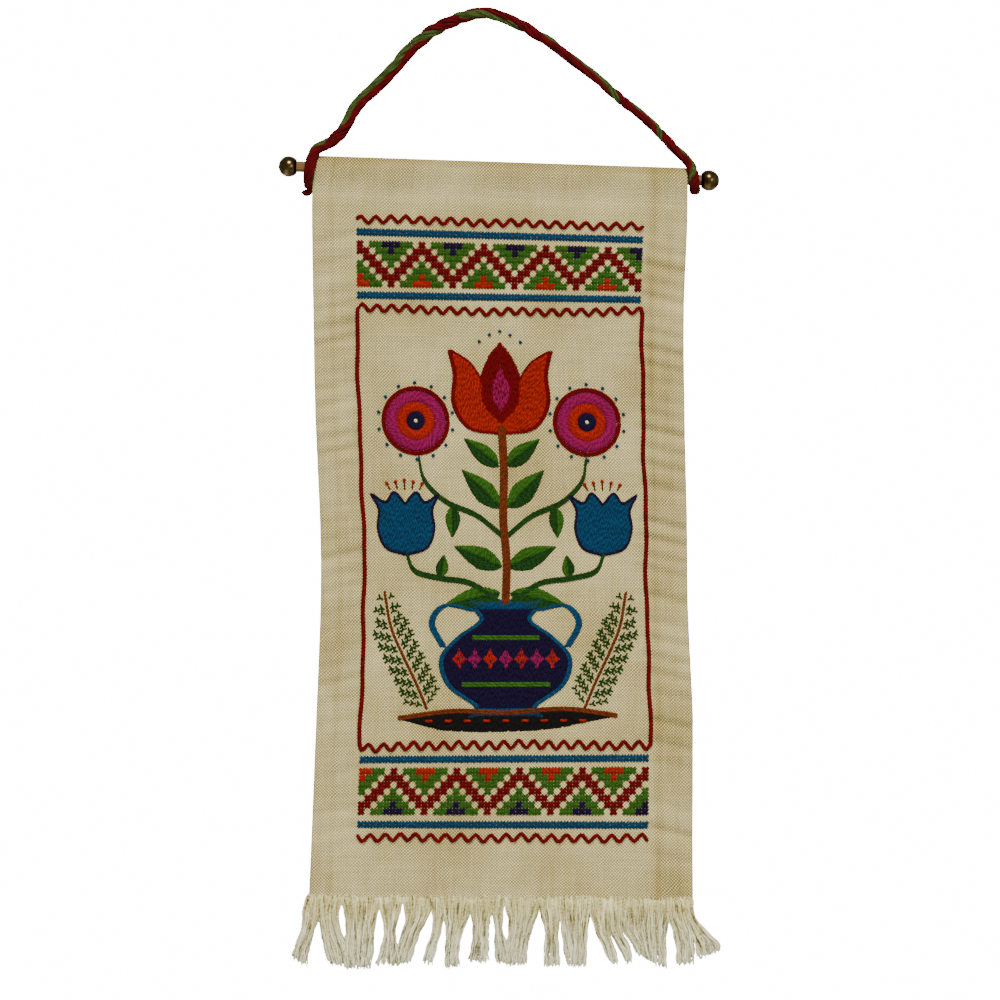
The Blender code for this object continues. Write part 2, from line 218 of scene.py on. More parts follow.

# Wool: a yarn's tones, which hold the painted shade of its grooves, as places in its colour ramp and factors,
# and the screen colours
YARN_SHADES = ((0.12, 0.3), (0.55, 0.95), (0.95, 1.6))
STITCH_COLOURS = {
    "dark_red": (86, 0, 4),
    "orange_red": (130, 22, 6),
    "blue": (10, 50, 76),
    "navy": (16, 6, 36),
    "green": (38, 76, 14),
    "dark_green": (18, 50, 12),
    "magenta": (112, 10, 58),
    "brown": (84, 34, 10),
    "black": (14, 12, 10),
    "cream": (214, 200, 150),
}

# Leaves beside the trunk and stems: root, tip and width
LEAVES = (
    ((3, 249), (36, 256), 13.0),
    ((2, 234), (30, 222), 13.0),
    ((30, 199), (31, 217), 9.0),
    ((2, 200), (24, 178), 13.0),
    ((2, 176), (22, 160), 11.0),
    ((38, 240), (36, 227), 7.5),
)

# Fringe locks in millimetres: left and right edge at each level below the cloth, then the length
# at its left and at its right
LOCK_LEVELS = (0.0, 10.4, 19.0, 27.7, 37.0)
LOCKS = (
    ((-100.2, -103.3, -104.4, -108.5, -111.4), (-94.1, -94.1, -97.0, -99.5, -101.0), 34.0, 39.2),
    ((-94.1, -94.1, -92.6, -90.9, -87.7), (-80.8, -83.2, -81.0, -76.5, -75.0), 38.1, 39.8),
    ((-80.8, -78.6, -78.5, -79.5, -78.5), (-58.9, -61.0, -62.3, -62.6, -64.2), 40.4, 39.8),
    ((-58.9, -57.4, -56.0, -58.0, -61.5), (-45.5, -48.1, -50.0, -48.7, -47.0), 38.1, 38.1),
    ((-45.5, -43.7, -45.7, -49.0, -52.5), (-29.4, -31.2, -35.6, -38.7, -41.2), 38.1, 36.4),
    ((-29.4, -28.3, -28.8, -31.9, -35.2), (-22.0, -22.3, -23.8, -26.2, -28.6), 36.4, 37.5),
    ((-22.0, -21.6, -20.6, -21.1, -21.3), (-6.3, -7.8, -11.4, -13.2, -13.0), 39.2, 38.1),
    ((-6.3, -6.1, -5.4, -6.0, -8.4), (5.8, 4.8, 3.8, 3.8, 4.1), 35.8, 35.8),
    ((5.8, 6.6, 7.8, 7.2, 8.1), (12.7, 11.6, 11.8, 14.4, 15.0), 36.4, 36.4),
    ((12.7, 15.3, 15.4, 13.6, 13.2), (33.5, 31.2, 28.4, 26.2, 25.8), 37.5, 36.9),
    ((33.5, 34.9, 36.8, 35.9, 36.2), (44.4, 45.0, 43.9, 44.6, 45.2), 38.7, 37.5),
    ((44.4, 45.3, 46.2, 47.3, 49.2), (62.3, 61.6, 60.9, 60.4, 60.2), 37.5, 38.1),
    ((62.3, 63.4, 65.8, 69.6, 74.0), (71.8, 72.6, 72.9, 76.2, 78.8), 35.8, 35.8),
    ((71.8, 72.6, 73.3, 78.6, 83.1), (80.8, 80.8, 81.2, 85.2, 86.8), 35.8, 34.6),
    ((80.8, 80.8, 81.9, 87.4, 91.4), (96.9, 96.9, 97.0, 97.8, 98.9), 30.4, 35.2),
    ((96.9, 96.9, 97.2, 97.9, 98.9), (106.9, 107.6, 106.8, 106.3, 106.9), 36.4, 38.1),
    ((106.9, 107.6, 110.4, 111.9, 112.3), (114.8, 118.0, 121.0, 122.5, 122.6), 36.4, 35.8),
    ((114.8, 117.6, 120.4, 122.5, 125.0), (121.0, 121.8, 128.6, 137.0, 138.5), 33.2, 27.7),
)

# Threads of the fringe, in millimetres, then how far down their roots are and their length
STRAND_RINGS = 18
STRAND_SPACING = 0.9
FEWEST_STRANDS = 6
STRAY_THICKNESS = 0.15
THICK_LOCKS = (0, 1, 16, 17)
LOCK_JOINED = 5.0
LOCK_FADE = 12.0
FRINGE_DROP = 507.0 * MM
FRINGE_LENGTH = 40.0 * MM

# Hanging cord: points on its middle in millimetres, from its left end to its right end
CORD_ROUTE = (
    (-98.8, 3.4, -78.7), (-99.0, 5.8, -81.1), (-99.4, 6.8, -84.9), (-99.8, 6.2, -89.3),
    (-100.2, 3.8, -93.1), (-100.3, 0.2, -94.6), (-100.1, -3.4, -93.5), (-99.5, -6.1, -89.7),
    (-98.7, -6.8, -84.6), (-97.9, -6.3, -79.9), (-95.2, -5.2, -75.3), (-88.9, -4.0, -72.1),
    (-83.1, -3.2, -67.2), (-78.5, -2.7, -62.0), (-75.6, -2.4, -56.3), (-72.1, -2.1, -50.2),
    (-66.9, -1.8, -44.7), (-60.6, -1.5, -38.9), (-54.8, -1.2, -32.6), (-49.6, -0.9, -26.3),
    (-43.9, -0.6, -20.2), (-36.9, -0.4, -13.3), (-28.9, -0.2, -6.9), (-19.6, -0.1, -2.0),
    (-10.4, 0.0, 1.7), (-0.6, 0.0, 3.75), (9.2, 0.0, 2.3), (20.2, -0.1, -2.0),
    (31.2, -0.3, -8.4), (43.3, -0.6, -16.2), (55.4, -1.0, -25.7), (67.5, -1.4, -35.2),
    (80.2, -2.0, -46.2), (92.9, -2.7, -56.3), (102.7, -3.3, -65.8), (111.4, -4.1, -75.0),
    (118.3, -5.0, -81.9), (121.0, -5.7, -87.1), (122.2, -6.1, -92.5), (122.6, -4.8, -96.2),
    (122.8, -1.9, -98.3), (122.8, 1.9, -98.3), (122.7, 4.8, -96.2), (122.5, 6.1, -92.5),
    (122.3, 5.0, -88.7), (122.0, 2.4, -86.5),
)

# Cord and its yarns: steps, widths and turns in millimetres, offsets and sizes as shares
CORD_STEP = 1.5
CURVE_STEPS = 12
CORD_YARN_TURN = 9.0
CORD_ARCH_POINT = 25

# Half the cord's width in millimetres, at a share of its length
CORD_WIDTHS = (
    (0.00, 1.5), (0.02, 2.9), (0.12, 3.5), (0.20, 4.0), (0.32, 4.3), (0.45, 3.8),
    (0.52, 3.6), (0.65, 3.2), (0.88, 3.1), (0.93, 3.3), (0.985, 2.7), (1.00, 1.4),
)

# Turns of the green strand about the cord at a point of its route: whole when it lies in
# front, a quarter more when it lies above
CORD_TURNS = (
    (0.0, 1.0), (5.0, 0.75), (8.5, 0.5), (9.5, 0.4), (10.4, 0.26), (11.0, 0.28), (11.8, 0.5),
    (12.6, 0.32), (13.5, 0.22), (16.0, 0.21), (18.0, 0.16), (19.0, 0.08), (20.0, 0.19),
    (21.0, 0.18), (21.6, 0.0), (22.1, -0.16), (22.7, -0.42), (23.4, -0.6), (23.9, -0.88),
    (24.4, -1.0), (25.2, -1.05), (25.9, -1.18), (27.0, -1.25), (27.6, -1.45), (28.1, -1.6),
    (28.5, -1.74), (29.2, -1.58), (30.1, -1.7), (31.0, -1.74), (31.4, -1.88), (31.65, -2.0),
    (31.95, -2.2), (32.2, -2.5), (32.5, -2.74), (33.0, -2.66), (33.6, -2.74), (34.0, -3.0),
    (34.2, -3.25), (34.6, -3.5), (35.3, -3.7), (36.0, -3.66), (36.6, -3.76), (37.3, -4.0),
    (38.8, -4.5), (45.0, -5.5),
)
STRAND_OFFSET = 0.42
STRAND_SIZE = 0.62
STRAND_YARNS = 6
YARN_OFFSET = 0.55
YARN_TURN = 60.0

# The cord's cut end, in millimetres
TAIL_ROUTE = (
    (-99.6, -2.2, -93.6), (-99.4, -0.6, -97.2), (-99.6, 1.0, -99.2), (-101.2, 1.4, -99.9),
    (-103.4, 0.2, -99.4),
)
TAIL_STEP = 0.7
TAIL_YARNS = 7
TAIL_YARN_RADIUS = 0.72
TAIL_SPREAD = 1.25

chance = random.Random(20)


def smooth(rows, column, at):
    """One column of a table, read at a place between its rows along a smooth curve."""
    last = len(rows) - 1
    after = next((i for i in range(1, last) if rows[i][0] > at), last)
    before = after - 1

    def rise(i):
        low = max(i - 1, 0)
        high = min(i + 1, last)
        return (rows[high][column] - rows[low][column]) / (rows[high][0] - rows[low][0])

    gap = rows[after][0] - rows[before][0]
    part = min(max((at - rows[before][0]) / gap, 0.0), 1.0)
    start, end = rows[before][column], rows[after][column]
    return (
        start * (1 + 2 * part) * (1 - part) ** 2
        + end * part * part * (3 - 2 * part)
        + gap * part * (1 - part) * (rise(before) * (1 - part) - rise(after) * part)
    )


def ease(part):
    part = np.clip(part, 0.0, 1.0)
    return part * part * (3 - 2 * part)


def unit(vectors):
    return vectors / np.maximum(np.linalg.norm(vectors, axis=-1, keepdims=True), 1e-12)


def stacked(*parts):
    """Arrays, or numbers beside arrays, as the columns of a last axis."""
    return np.stack(np.broadcast_arrays(*parts), axis=-1)


def running_length(path):
    steps = np.linalg.norm(np.diff(path, axis=0), axis=1)
    return np.concatenate(([0.0], np.cumsum(steps)))


def heading(angle):
    return np.array((math.cos(angle), math.sin(angle)))


def left_of(ahead):
    return np.array((-ahead[1], ahead[0]))


def turned(angles, first, second):
    """Directions at angles from one side vector towards another."""
    return np.cos(angles)[:, None] * first + np.sin(angles)[:, None] * second


# The three edge tables, read once at every millimetre down the cloth
DOWN_STEPS = np.arange(-1.0, CLOTH_LENGTH + 2.0)
LEFT_EDGE, RIGHT_EDGE, WEFT_SLOPE = (
    np.array([smooth(EDGES, column, down) for down in DOWN_STEPS]) for column in (1, 2, 3)
)


def cloth_line(share, down):
    """Where a thread crossing lies in the front view, in millimetres."""
    left, right, slope = (np.interp(down, DOWN_STEPS, table) for table in (LEFT_EDGE, RIGHT_EDGE, WEFT_SLOPE))
    x = left + (right - left) * share
    z = ROD_MIDDLE[2] + FOLD_RISE - down - np.tan(np.radians(slope)) * (x - ROD_MIDDLE[0])
    return x, z


def ripple_depth(ripples, from_edge, down):
    slant = RIPPLE_SLANT * (from_edge - RIPPLE_MIDDLE)
    total = 0.0
    for place, depth in ripples:
        offset = (down + slant - place) / RIPPLE_HALF_WIDTH
        total = total + depth * np.exp(-offset * offset)
    return ease((RIPPLE_REACH - from_edge) / RIPPLE_FADE) * total * RIPPLE_GAIN


def hem_mark(share):
    """How much the hem behind lifts the panel's face: a low step that ends in a soft line."""
    lift = 0.0
    for width_share, hem in ((share, LEFT_HEM), (1 - share, RIGHT_HEM)):
        distance = width_share * CLOTH_WIDTH
        lift = lift + HEM_STEP * ease((hem + HEM_STEP_WIDTH / 2 - distance) / HEM_STEP_WIDTH)
        lift = lift + HEM_RIDGE * np.exp(-(((distance - hem + HEM_RIDGE_INSET) / HEM_RIDGE_WIDTH) ** 2))
    return lift


def drape(share, down):
    """How far the panel stands back from its plane."""
    fade = ease((down - SWELL_START) / SWELL_FADE)
    swell = SWELL_DEPTH * np.sin(TURN * (SWELL_TURNS * share + SWELL_LEAD))
    swell = swell * np.cos(TURN * down / SWELL_PERIOD)
    ripples = ripple_depth(LEFT_RIPPLES, share * CLOTH_WIDTH, down)
    ripples = ripples + ripple_depth(RIGHT_RIPPLES, (1 - share) * CLOTH_WIDTH, down)
    return fade * swell + ease((down - POCKET_HEIGHT) / SWELL_START) * ripples


def pocket_half_depth(down):
    angle = np.arccos(1 - 2 * np.minimum(down / POCKET_HEIGHT, 1.0))
    return POCKET_BULGE * np.sin(angle) * np.cos(angle / 2) ** 2 + SEAM_DEPTH * np.sin(angle / 2) ** 2


def front_depth(share, down):
    pocket = -pocket_half_depth(np.clip(down, 0.0, POCKET_HEIGHT))
    hems = hem_mark(share) * ease((down - HEM_MARK_START) / HEM_MARK_FADE)
    return np.where(down < POCKET_HEIGHT, pocket, -SEAM_DEPTH + drape(share, down)) - hems


def back_depth(share, down):
    """The outer face behind the rod: the pocket's back, then the flap under its seam."""
    in_hem = ease((SOLID_HEM_SHARE + 0.035 - np.minimum(share, 1 - share)) / 0.03)
    layers = 2 * (SOLID_SHEET + (SOLID_HEM - SOLID_SHEET) * in_hem) + CLEARANCE
    flap = front_depth(share, np.maximum(down, POCKET_HEIGHT)) + layers
    drawn_in = ease(2 * down / POCKET_HEIGHT - 1)
    pocket = pocket_half_depth(np.clip(down, 0.0, POCKET_HEIGHT)) + (flap - SEAM_DEPTH) * drawn_in
    return np.where(down >= POCKET_HEIGHT, flap, pocket)


def on_cloth(across, down, lift, behind=False):
    """Points in metres over the cloth's face, or behind its back, at a height off it."""
    share = np.asarray(across, float) / CLOTH_WIDTH
    x, z = cloth_line(share, down)
    face = front_depth(share, down)
    return stacked(x, face + CLOTH_THICKNESS + lift if behind else face - lift, z) * MM


def node(tree, kind, inputs=None, **settings):
    """Adds a shader node. An input is a number, a colour or another node's output."""
    made = tree.nodes.new(kind)
    for name, value in settings.items():
        setattr(made, name, value)
    for key, value in (inputs or {}).items():
        if isinstance(value, bpy.types.NodeSocket):
            tree.links.new(value, made.inputs[key])
        else:
            made.inputs[key].default_value = value
    return made


def shade(colour, times):
    return tuple(min(value * times, 1.0) for value in colour)


def tint(red, green, blue):
    """A screen colour of 0 to 255 as the shader's linear values."""
    screen = (value / 255 for value in (red, green, blue))
    return tuple(v / 12.92 if v <= 0.04045 else ((v + 0.055) / 1.055) ** 2.4 for v in screen)


class Finish:
    """A material in the making. Its methods add shader nodes and give their outputs."""

    def __init__(self, name, roughness, **sockets):
        self.material = bpy.data.materials.new(name)
        self.material.use_nodes = True
        self.tree = self.material.node_tree
        self.shader = self.tree.nodes["Principled BSDF"]
        self.shader.inputs["Roughness"].default_value = roughness
        for key, value in sockets.items():
            self.shader.inputs[key.replace("_", " ")].default_value = value

    def calc(self, operation, *values):
        return node(self.tree, "ShaderNodeMath", dict(enumerate(values)), operation=operation).outputs[0]

    def times(self, first, second):
        return self.calc("MULTIPLY", first, second)

    def scaled(self, value, factor, rest):
        return self.calc("MULTIPLY_ADD", value, factor, rest)

    def noise(self, place, scale, detail):
        inputs = {"Vector": place, "Scale": scale, "Detail": detail}
        return node(self.tree, "ShaderNodeTexNoise", inputs).outputs[0]

    def vector(self, x=0.0, y=0.0, z=0.0):
        return node(self.tree, "ShaderNodeCombineXYZ", {0: x, 1: y, 2: z}).outputs[0]

    def parts(self, vector):
        return node(self.tree, "ShaderNodeSeparateXYZ", {0: vector}).outputs

    def where(self):
        return node(self.tree, "ShaderNodeTexCoord").outputs["Object"]

    def thread(self):
        """The thread UV, and its parts: across or round a thread, and along it."""
        place = node(self.tree, "ShaderNodeUVMap", uv_map="thread").outputs[0]
        around, along = self.parts(place)[:2]
        return place, around, along

    def ramp(self, factor, *stops):
        """A colour ramp through (place, colour) stops."""
        made = node(self.tree, "ShaderNodeValToRGB", {"Fac": factor})
        points = made.color_ramp.elements
        while len(points) < len(stops):
            points.new(0.5)
        for point, (place, colour) in zip(points, stops):
            point.position = place
            point.color = (*colour, 1.0)
        return made.outputs["Color"]

    def tints(self, factor, *stops):
        return self.ramp(factor, *((place, tint(*screen)) for place, *screen in stops))

    def greys(self, factor, *stops):
        return self.ramp(factor, *((place, (grey,) * 3) for place, grey in stops))

    def mixed(self, share, first, second):
        inputs = {0: share, 6: first, 7: second}
        return node(self.tree, "ShaderNodeMix", inputs, data_type="RGBA").outputs[2]

    def either(self, share, first, second):
        inputs = {0: share, 2: first, 3: second}
        return node(self.tree, "ShaderNodeMix", inputs, data_type="FLOAT").outputs[0]

    def done(self, hue, height=None, depth=0.0):
        """Links the colour, and a bump with its depth in millimetres."""
        self.tree.links.new(hue, self.shader.inputs["Base Color"])
        if height is not None:
            inputs = {"Height": height, "Distance": depth * MM, "Strength": 1.0}
            relief = node(self.tree, "ShaderNodeBump", inputs).outputs[0]
            self.tree.links.new(relief, self.shader.inputs["Normal"])
        return self.material


def yarn_finish(name, colour, turn=3.2, fleck=None):
    """Two-ply wool: painted shade in the grooves between its plies, fine fibres and slow changes of tone."""
    made = Finish(name, 0.95, Specular_IOR_Level=0.12)
    _, around, along = made.thread()
    where = made.where()
    lean = made.scaled(around, 2.0, made.calc("DIVIDE", along, turn))
    wave = made.calc("SINE", made.times(lean, TURN))
    groove = made.calc("POWER", made.calc("ABSOLUTE", made.scaled(wave, 0.5, 0.5)), 0.6)
    fibres = made.noise(made.vector(made.times(lean, 7.0), along), 1.3, 4.0)
    # Painted shade: the grooves between the plies darken the colour
    tone = made.scaled(groove, 0.5, made.times(fibres, 0.35))
    tone = made.scaled(made.noise(where, 160.0, 2.0), 0.3, tone)
    hue = made.ramp(tone, *((place, shade(colour, times)) for place, times in YARN_SHADES))
    if fleck:
        share = made.greys(made.noise(where, 900.0, 3.0), (0.56, 0.0), (0.70, 1.0))
        hue = made.mixed(share, hue, (*fleck, 1.0))
    return made.done(hue, made.scaled(fibres, 0.5, groove), 0.12)


def cloth_finish():
    """Plain weave in two thread directions, drawn from the cloth's own millimetres, with painted shade in the
    gaps between threads, lighter warp crossings as painted light, and painted shade and light by the fold and
    the hems.
    """
    made = Finish("homespun_weave", 0.95, Specular_IOR_Level=0.1)
    place, across, down = made.thread()
    bend = made.times(made.noise(place, 0.09, 2.0), 2.2)
    warp, weft = (
        made.calc("SINE", made.times(made.calc("ADD", part, bend), math.pi / WEAVE_PITCH))
        for part in (across, down)
    )
    over = made.calc("GREATER_THAN", made.times(warp, weft), 0.0)
    warp, weft = (made.calc("ABSOLUTE", wave) for wave in (warp, weft))
    warp_up = made.times(warp, made.calc("POWER", weft, 0.4))
    weft_up = made.times(weft, made.calc("POWER", warp, 0.4))
    height = made.either(over, weft_up, warp_up)
    warp_tone, weft_tone = (
        made.noise(made.vector(made.times(across, fine), made.times(down, long)), 1.0, 3.0)
        for fine, long in ((0.95, 0.03), (0.03, 0.95))
    )
    tone = made.times(made.noise(place, 0.02, 3.0), 0.42)
    tone = made.scaled(made.either(over, weft_tone, warp_tone), 0.34, tone)
    # Painted shade: the gaps between the threads are darker than their tops
    tone = made.scaled(height, 0.22, tone)
    # Painted light: crossings where the warp lies on top are lighter, those of the weft darker
    tone = made.scaled(over, 0.38, made.calc("SUBTRACT", tone, 0.08))
    # Painted shade on the fold over the rod, and painted light on the cloth just below it
    from_fold = made.calc("DIVIDE", made.calc("ABSOLUTE", down), FOLD_PAINTED_SHADING_REACH)
    tone = made.calc("ADD", tone, made.scaled(made.greys(from_fold, *FOLD_PAINTED_SHADING), 0.3, -0.15))
    # Painted shade along the lines where the hems lie behind the panel
    hem_painted_shade = made.greys(made.calc("DIVIDE", across, CLOTH_WIDTH), *HEM_PAINTED_SHADE)
    tone = made.scaled(hem_painted_shade, -0.1, tone)
    hue = made.tints(tone, (0.30, 104, 86, 36), (0.64, 198, 179, 110), (0.98, 250, 238, 186))
    return made.done(hue, height, 0.3)


def fringe_finish():
    """Loose warp threads: the cloth's cream at their roots, greyer towards their tips."""
    made = Finish("fringe_yarn", 0.95, Specular_IOR_Level=0.1)
    along = made.thread()[2]
    where = made.where()
    fine = made.noise(where, 900.0, 2.0)
    tone = made.scaled(fine, 0.35, made.times(made.noise(made.vector(y=along), 0.05, 1.0), 0.65))
    cream = made.tints(tone, (0.36, 108, 94, 46), (0.48, 197, 186, 122), (0.64, 246, 239, 192))
    grey = made.tints(tone, (0.36, 110, 105, 68), (0.48, 228, 225, 182), (0.64, 255, 253, 228))
    fall = made.calc("DIVIDE", made.calc("ADD", made.parts(where)[2], FRINGE_DROP), -FRINGE_LENGTH)
    near_tip = made.greys(fall, (0.15, 0.0), (0.9, 1.0))
    return made.done(made.mixed(near_tip, cream, grey), fine, 0.1)


def wood_finish():
    """A tan dowel with long grain along the rod."""
    made = Finish("dowel_grain", 0.7, Specular_IOR_Level=0.2)
    sizes = (60.0, 1500.0, 1500.0)
    stretched = (made.times(part, size) for part, size in zip(made.parts(made.where()), sizes))
    grain = made.noise(made.vector(*stretched), 1.0, 5.0)
    hue = made.tints(grain, (0.3, 70, 46, 20), (0.52, 118, 84, 42), (0.75, 152, 114, 66))
    return made.done(hue, grain, 0.08)


def brass_finish():
    """Old brass: darker brown on the half towards the mouth, lighter on the crown, faintly pitted."""
    made = Finish("antique_brass", 0.3, Metallic=1.0)
    stain = made.noise(made.where(), 330.0, 5.0)
    rim = made.greys(made.calc("DIVIDE", made.thread()[2], 20.0), (0.45, 0.0), (0.72, 1.0))
    worn = made.tints(stain, (0.3, 46, 34, 16), (0.55, 86, 68, 36), (0.75, 140, 116, 70))
    rough = node(made.tree, "ShaderNodeMapRange", {0: stain, 3: 0.34, 4: 0.16}).outputs[0]
    made.tree.links.new(rough, made.shader.inputs["Roughness"])
    return made.done(made.mixed(rim, worn, (*tint(44, 32, 18), 1.0)), stain, 0.05)


def floor_finish():
    made = Finish("pale_floor", 0.8)
    slow = made.noise(made.where(), 3.0, 2.0)
    return made.done(made.ramp(slow, (0.3, (0.80, 0.80, 0.79)), (0.7, (0.86, 0.86, 0.85))))


def carried_frames(path, start=0, normal=(0.0, -1.0, 0.0)):
    """Two side vectors along a path, carried both ways from one of its points."""
    tangents = unit(np.gradient(path, axis=0))
    normals = np.zeros_like(path)
    for order in (range(start, len(path)), range(start, -1, -1)):
        held = np.asarray(normal, float)
        for i in order:
            held = held - tangents[i] * held.dot(tangents[i])
            if held.dot(held) < 1e-6:
                held = np.cross(tangents[i], (1.0, 0.0, 0.0))
            held = held / np.linalg.norm(held)
            normals[i] = held
    return normals, np.cross(normals, tangents)


def add_object(name, data):
    made = bpy.data.objects.new(name, data)
    bpy.context.scene.collection.objects.link(made)
    return made


def add_piece(name, mesh):
    made = add_object(name, mesh)
    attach(made, "root")
    return made


def make_mesh(name, points, faces, places, finishes):
    """A smooth mesh. Its UV holds a place for each corner of each face."""
    mesh = bpy.data.meshes.new(name)
    mesh.from_pydata(points.tolist(), [], faces)
    mesh.uv_layers.new(name="thread").data.foreach_set("uv", places.ravel())
    for finish in finishes:
        mesh.materials.append(finish)
    mesh.shade_smooth()
    return mesh


class Threads:
    """Gathers tubes of yarn for one mesh. Its UV is the turn round a tube and millimetres along."""

    def __init__(self):
        self.points = []
        self.quads = []
        self.caps = {}
        self.quad_places = []
        self.quad_slots = []
        self.count = 0

    def add(self, path, radii, sides=6, slot=0, flatness=1.0, start_at=0.0):
        rings = len(path)
        normals, sideways = carried_frames(path)
        angles = TURN * np.arange(sides)[:, None] / sides
        outward = np.cos(angles) * normals[:, None] * flatness + np.sin(angles) * sideways[:, None]
        radii = np.broadcast_to(radii, (rings,))[:, None, None]
        self.points.append((path[:, None] + radii * outward).reshape(-1, 3))
        ring, turn = np.meshgrid(np.arange(rings - 1), np.arange(sides), indexing="ij")
        here, after = ring * sides + turn, ring * sides + (turn + 1) % sides
        corners = stacked(here, after, after + sides, here + sides)
        self.quads.append(corners.reshape(-1, 4) + self.count)
        reach = start_at + running_length(path) / MM
        around = stacked(turn, turn + 1, turn + 1, turn) / sides
        along = stacked(reach[ring], reach[ring], reach[ring + 1], reach[ring + 1])
        self.quad_places.append(stacked(around, along).reshape(-1, 2))
        self.quad_slots.append(np.full((rings - 1) * sides, slot))
        first = np.arange(sides)[::-1] + self.count
        last = np.arange(sides) + self.count + (rings - 1) * sides
        self.caps.setdefault(sides, []).extend(((first, reach[0], slot), (last, reach[-1], slot)))
        self.count += rings * sides

    def build(self, name, finishes, slot):
        faces = np.concatenate(self.quads).tolist()
        places, slots = list(self.quad_places), list(self.quad_slots)
        for sides, caps in self.caps.items():
            for corners, reach, index in caps:
                faces.append(corners.tolist())
                places.append(stacked(np.arange(sides) / sides, reach))
                slots.append(np.array([index]))
        mesh = make_mesh(name, np.concatenate(self.points), faces, np.concatenate(places), finishes)
        mesh.polygons.foreach_set("material_index", np.concatenate(slots).astype(np.int32))
        return add_piece(name, mesh)


def grid_mesh(name, points, places, finish):
    """A sheet from a grid of points, with the thread places as its UV."""
    rows, columns = points.shape[:2]
    row, column = np.meshgrid(np.arange(rows - 1), np.arange(columns - 1), indexing="ij")
    first = row * columns + column
    corners = stacked(first, first + 1, first + columns + 1, first + columns).reshape(-1, 4)
    flat = places.reshape(-1, 2)[corners.reshape(-1)]
    return make_mesh(name, points.reshape(-1, 3), corners.tolist(), flat, [finish])


def set_camera():
    data = bpy.data.cameras.new("camera")
    data.sensor_width = SENSOR
    data.lens = SENSOR * CAMERA_DISTANCE / PHOTO_SIDE
    camera = add_object("camera", data)
    camera.location = (PHOTO_MIDDLE[0], -CAMERA_DISTANCE, PHOTO_MIDDLE[1])
    camera.rotation_euler = (math.radians(90), 0.0, 0.0)
    bpy.context.scene.camera = camera


def light_scene():
    target = np.array((PHOTO_MIDDLE[0], 0.0, PHOTO_MIDDLE[1]))
    for name, place, size, power, colour in LIGHTS:
        data = bpy.data.lights.new(name, "AREA")
        data.shape = "DISK"
        data.size = size
        data.energy = power
        data.color = colour
        light = add_object(name, data)
        light.location = place
        x, y, z = np.array(place) - target
        light.rotation_euler = (math.atan2(math.hypot(x, y), z), 0.0, math.atan2(x, -y))
    world = bpy.data.worlds.new("studio")
    bpy.context.scene.world = world
    world.use_nodes = True
    tree = world.node_tree
    soft = tree.nodes["Background"]
    soft.inputs["Color"].default_value = WHITE
    soft.inputs["Strength"].default_value = DAYLIGHT
    seen = node(tree, "ShaderNodeBackground", {0: WHITE, 1: BACKGROUND_GLOW})
    path = node(tree, "ShaderNodeLightPath")
    inputs = {0: path.outputs["Is Camera Ray"], 1: soft.outputs[0], 2: seen.outputs[0]}
    mixed = node(tree, "ShaderNodeMixShader", inputs)
    tree.links.new(mixed.outputs[0], tree.nodes["World Output"].inputs["Surface"])


def add_floor():
    low = CAD_BOX[0][2] - FLOOR_DROP
    sides = ((-1, -1), (1, -1), (1, 1), (-1, 1))
    corners = [(x * FLOOR_HALF + PHOTO_MIDDLE[0], y * FLOOR_HALF, low) for x, y in sides]
    mesh = bpy.data.meshes.new("floor")
    mesh.from_pydata(corners, [], [(0, 1, 2, 3)])
    mesh.materials.append(floor_finish())
    add_object("floor", mesh)


def curve_through(route, step):
    """Evenly spaced points on a smooth curve, the route's own count at each, and its length."""
    points = np.array(route) * MM
    padded = np.vstack((2 * points[0] - points[1], points, 2 * points[-1] - points[-2]))
    t = np.linspace(0, 1, CURVE_STEPS + 1)[:-1, None]
    fine = []
    for before, start, end, after in zip(padded, padded[1:], padded[2:], padded[3:]):
        square = (2 * before - 5 * start + 4 * end - after) * t ** 2
        cube = (3 * start - before - 3 * end + after) * t ** 3
        fine.append(0.5 * (2 * start + (end - before) * t + square + cube))
    fine = np.vstack(fine + [points[-1:]])
    reach = running_length(fine)
    wanted = np.linspace(0, reach[-1], round(reach[-1] / (step * MM)) + 1)
    even = stacked(*(np.interp(wanted, reach, fine[:, axis]) for axis in range(3)))
    counts = np.interp(wanted, reach, np.arange(len(fine)) / CURVE_STEPS)
    return even, counts, reach[-1]


def build_cord(green, red):
    """A green and two red strands of fine yarns, turned loosely about the cord's middle."""
    points, counts, length = curve_through(CORD_ROUTE, CORD_STEP)
    arch = int(np.argmin(np.abs(counts - CORD_ARCH_POINT)))
    normals, above = carried_frames(points, arch)
    shares = np.linspace(0, 1, len(points))
    half = np.array([smooth(CORD_WIDTHS, 1, share) for share in shares]) * MM
    turns = np.array([smooth(CORD_TURNS, 1, count) for count in counts])
    reach = shares * length / MM
    threads = Threads()
    for strand, lead in enumerate((0.0, 1 / 3, 2 / 3)):
        aside = turned(TURN * (turns + lead), normals, above)
        middle = points + aside * half[:, None] * STRAND_OFFSET
        thick = half * STRAND_SIZE
        strand_frame = carried_frames(middle, arch)
        for yarn in range(STRAND_YARNS + 1):
            wander = 0.05 * np.sin(reach / (11.0 + 2.3 * yarn) + strand)
            spin = TURN * (yarn / STRAND_YARNS - reach / YARN_TURN + wander)
            around = turned(spin, *strand_frame)
            path = middle + around * thick[:, None] * (YARN_OFFSET if yarn < STRAND_YARNS else 0.0)
            size = thick * (0.43 + 0.03 * np.sin(reach / 9.0 + 2 * yarn))
            threads.add(path, size, slot=min(strand, 1))
    cord = threads.build("cord_yarns", (green, red), "cord_wool")
    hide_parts("hanging_cord")
    return cord, points, length


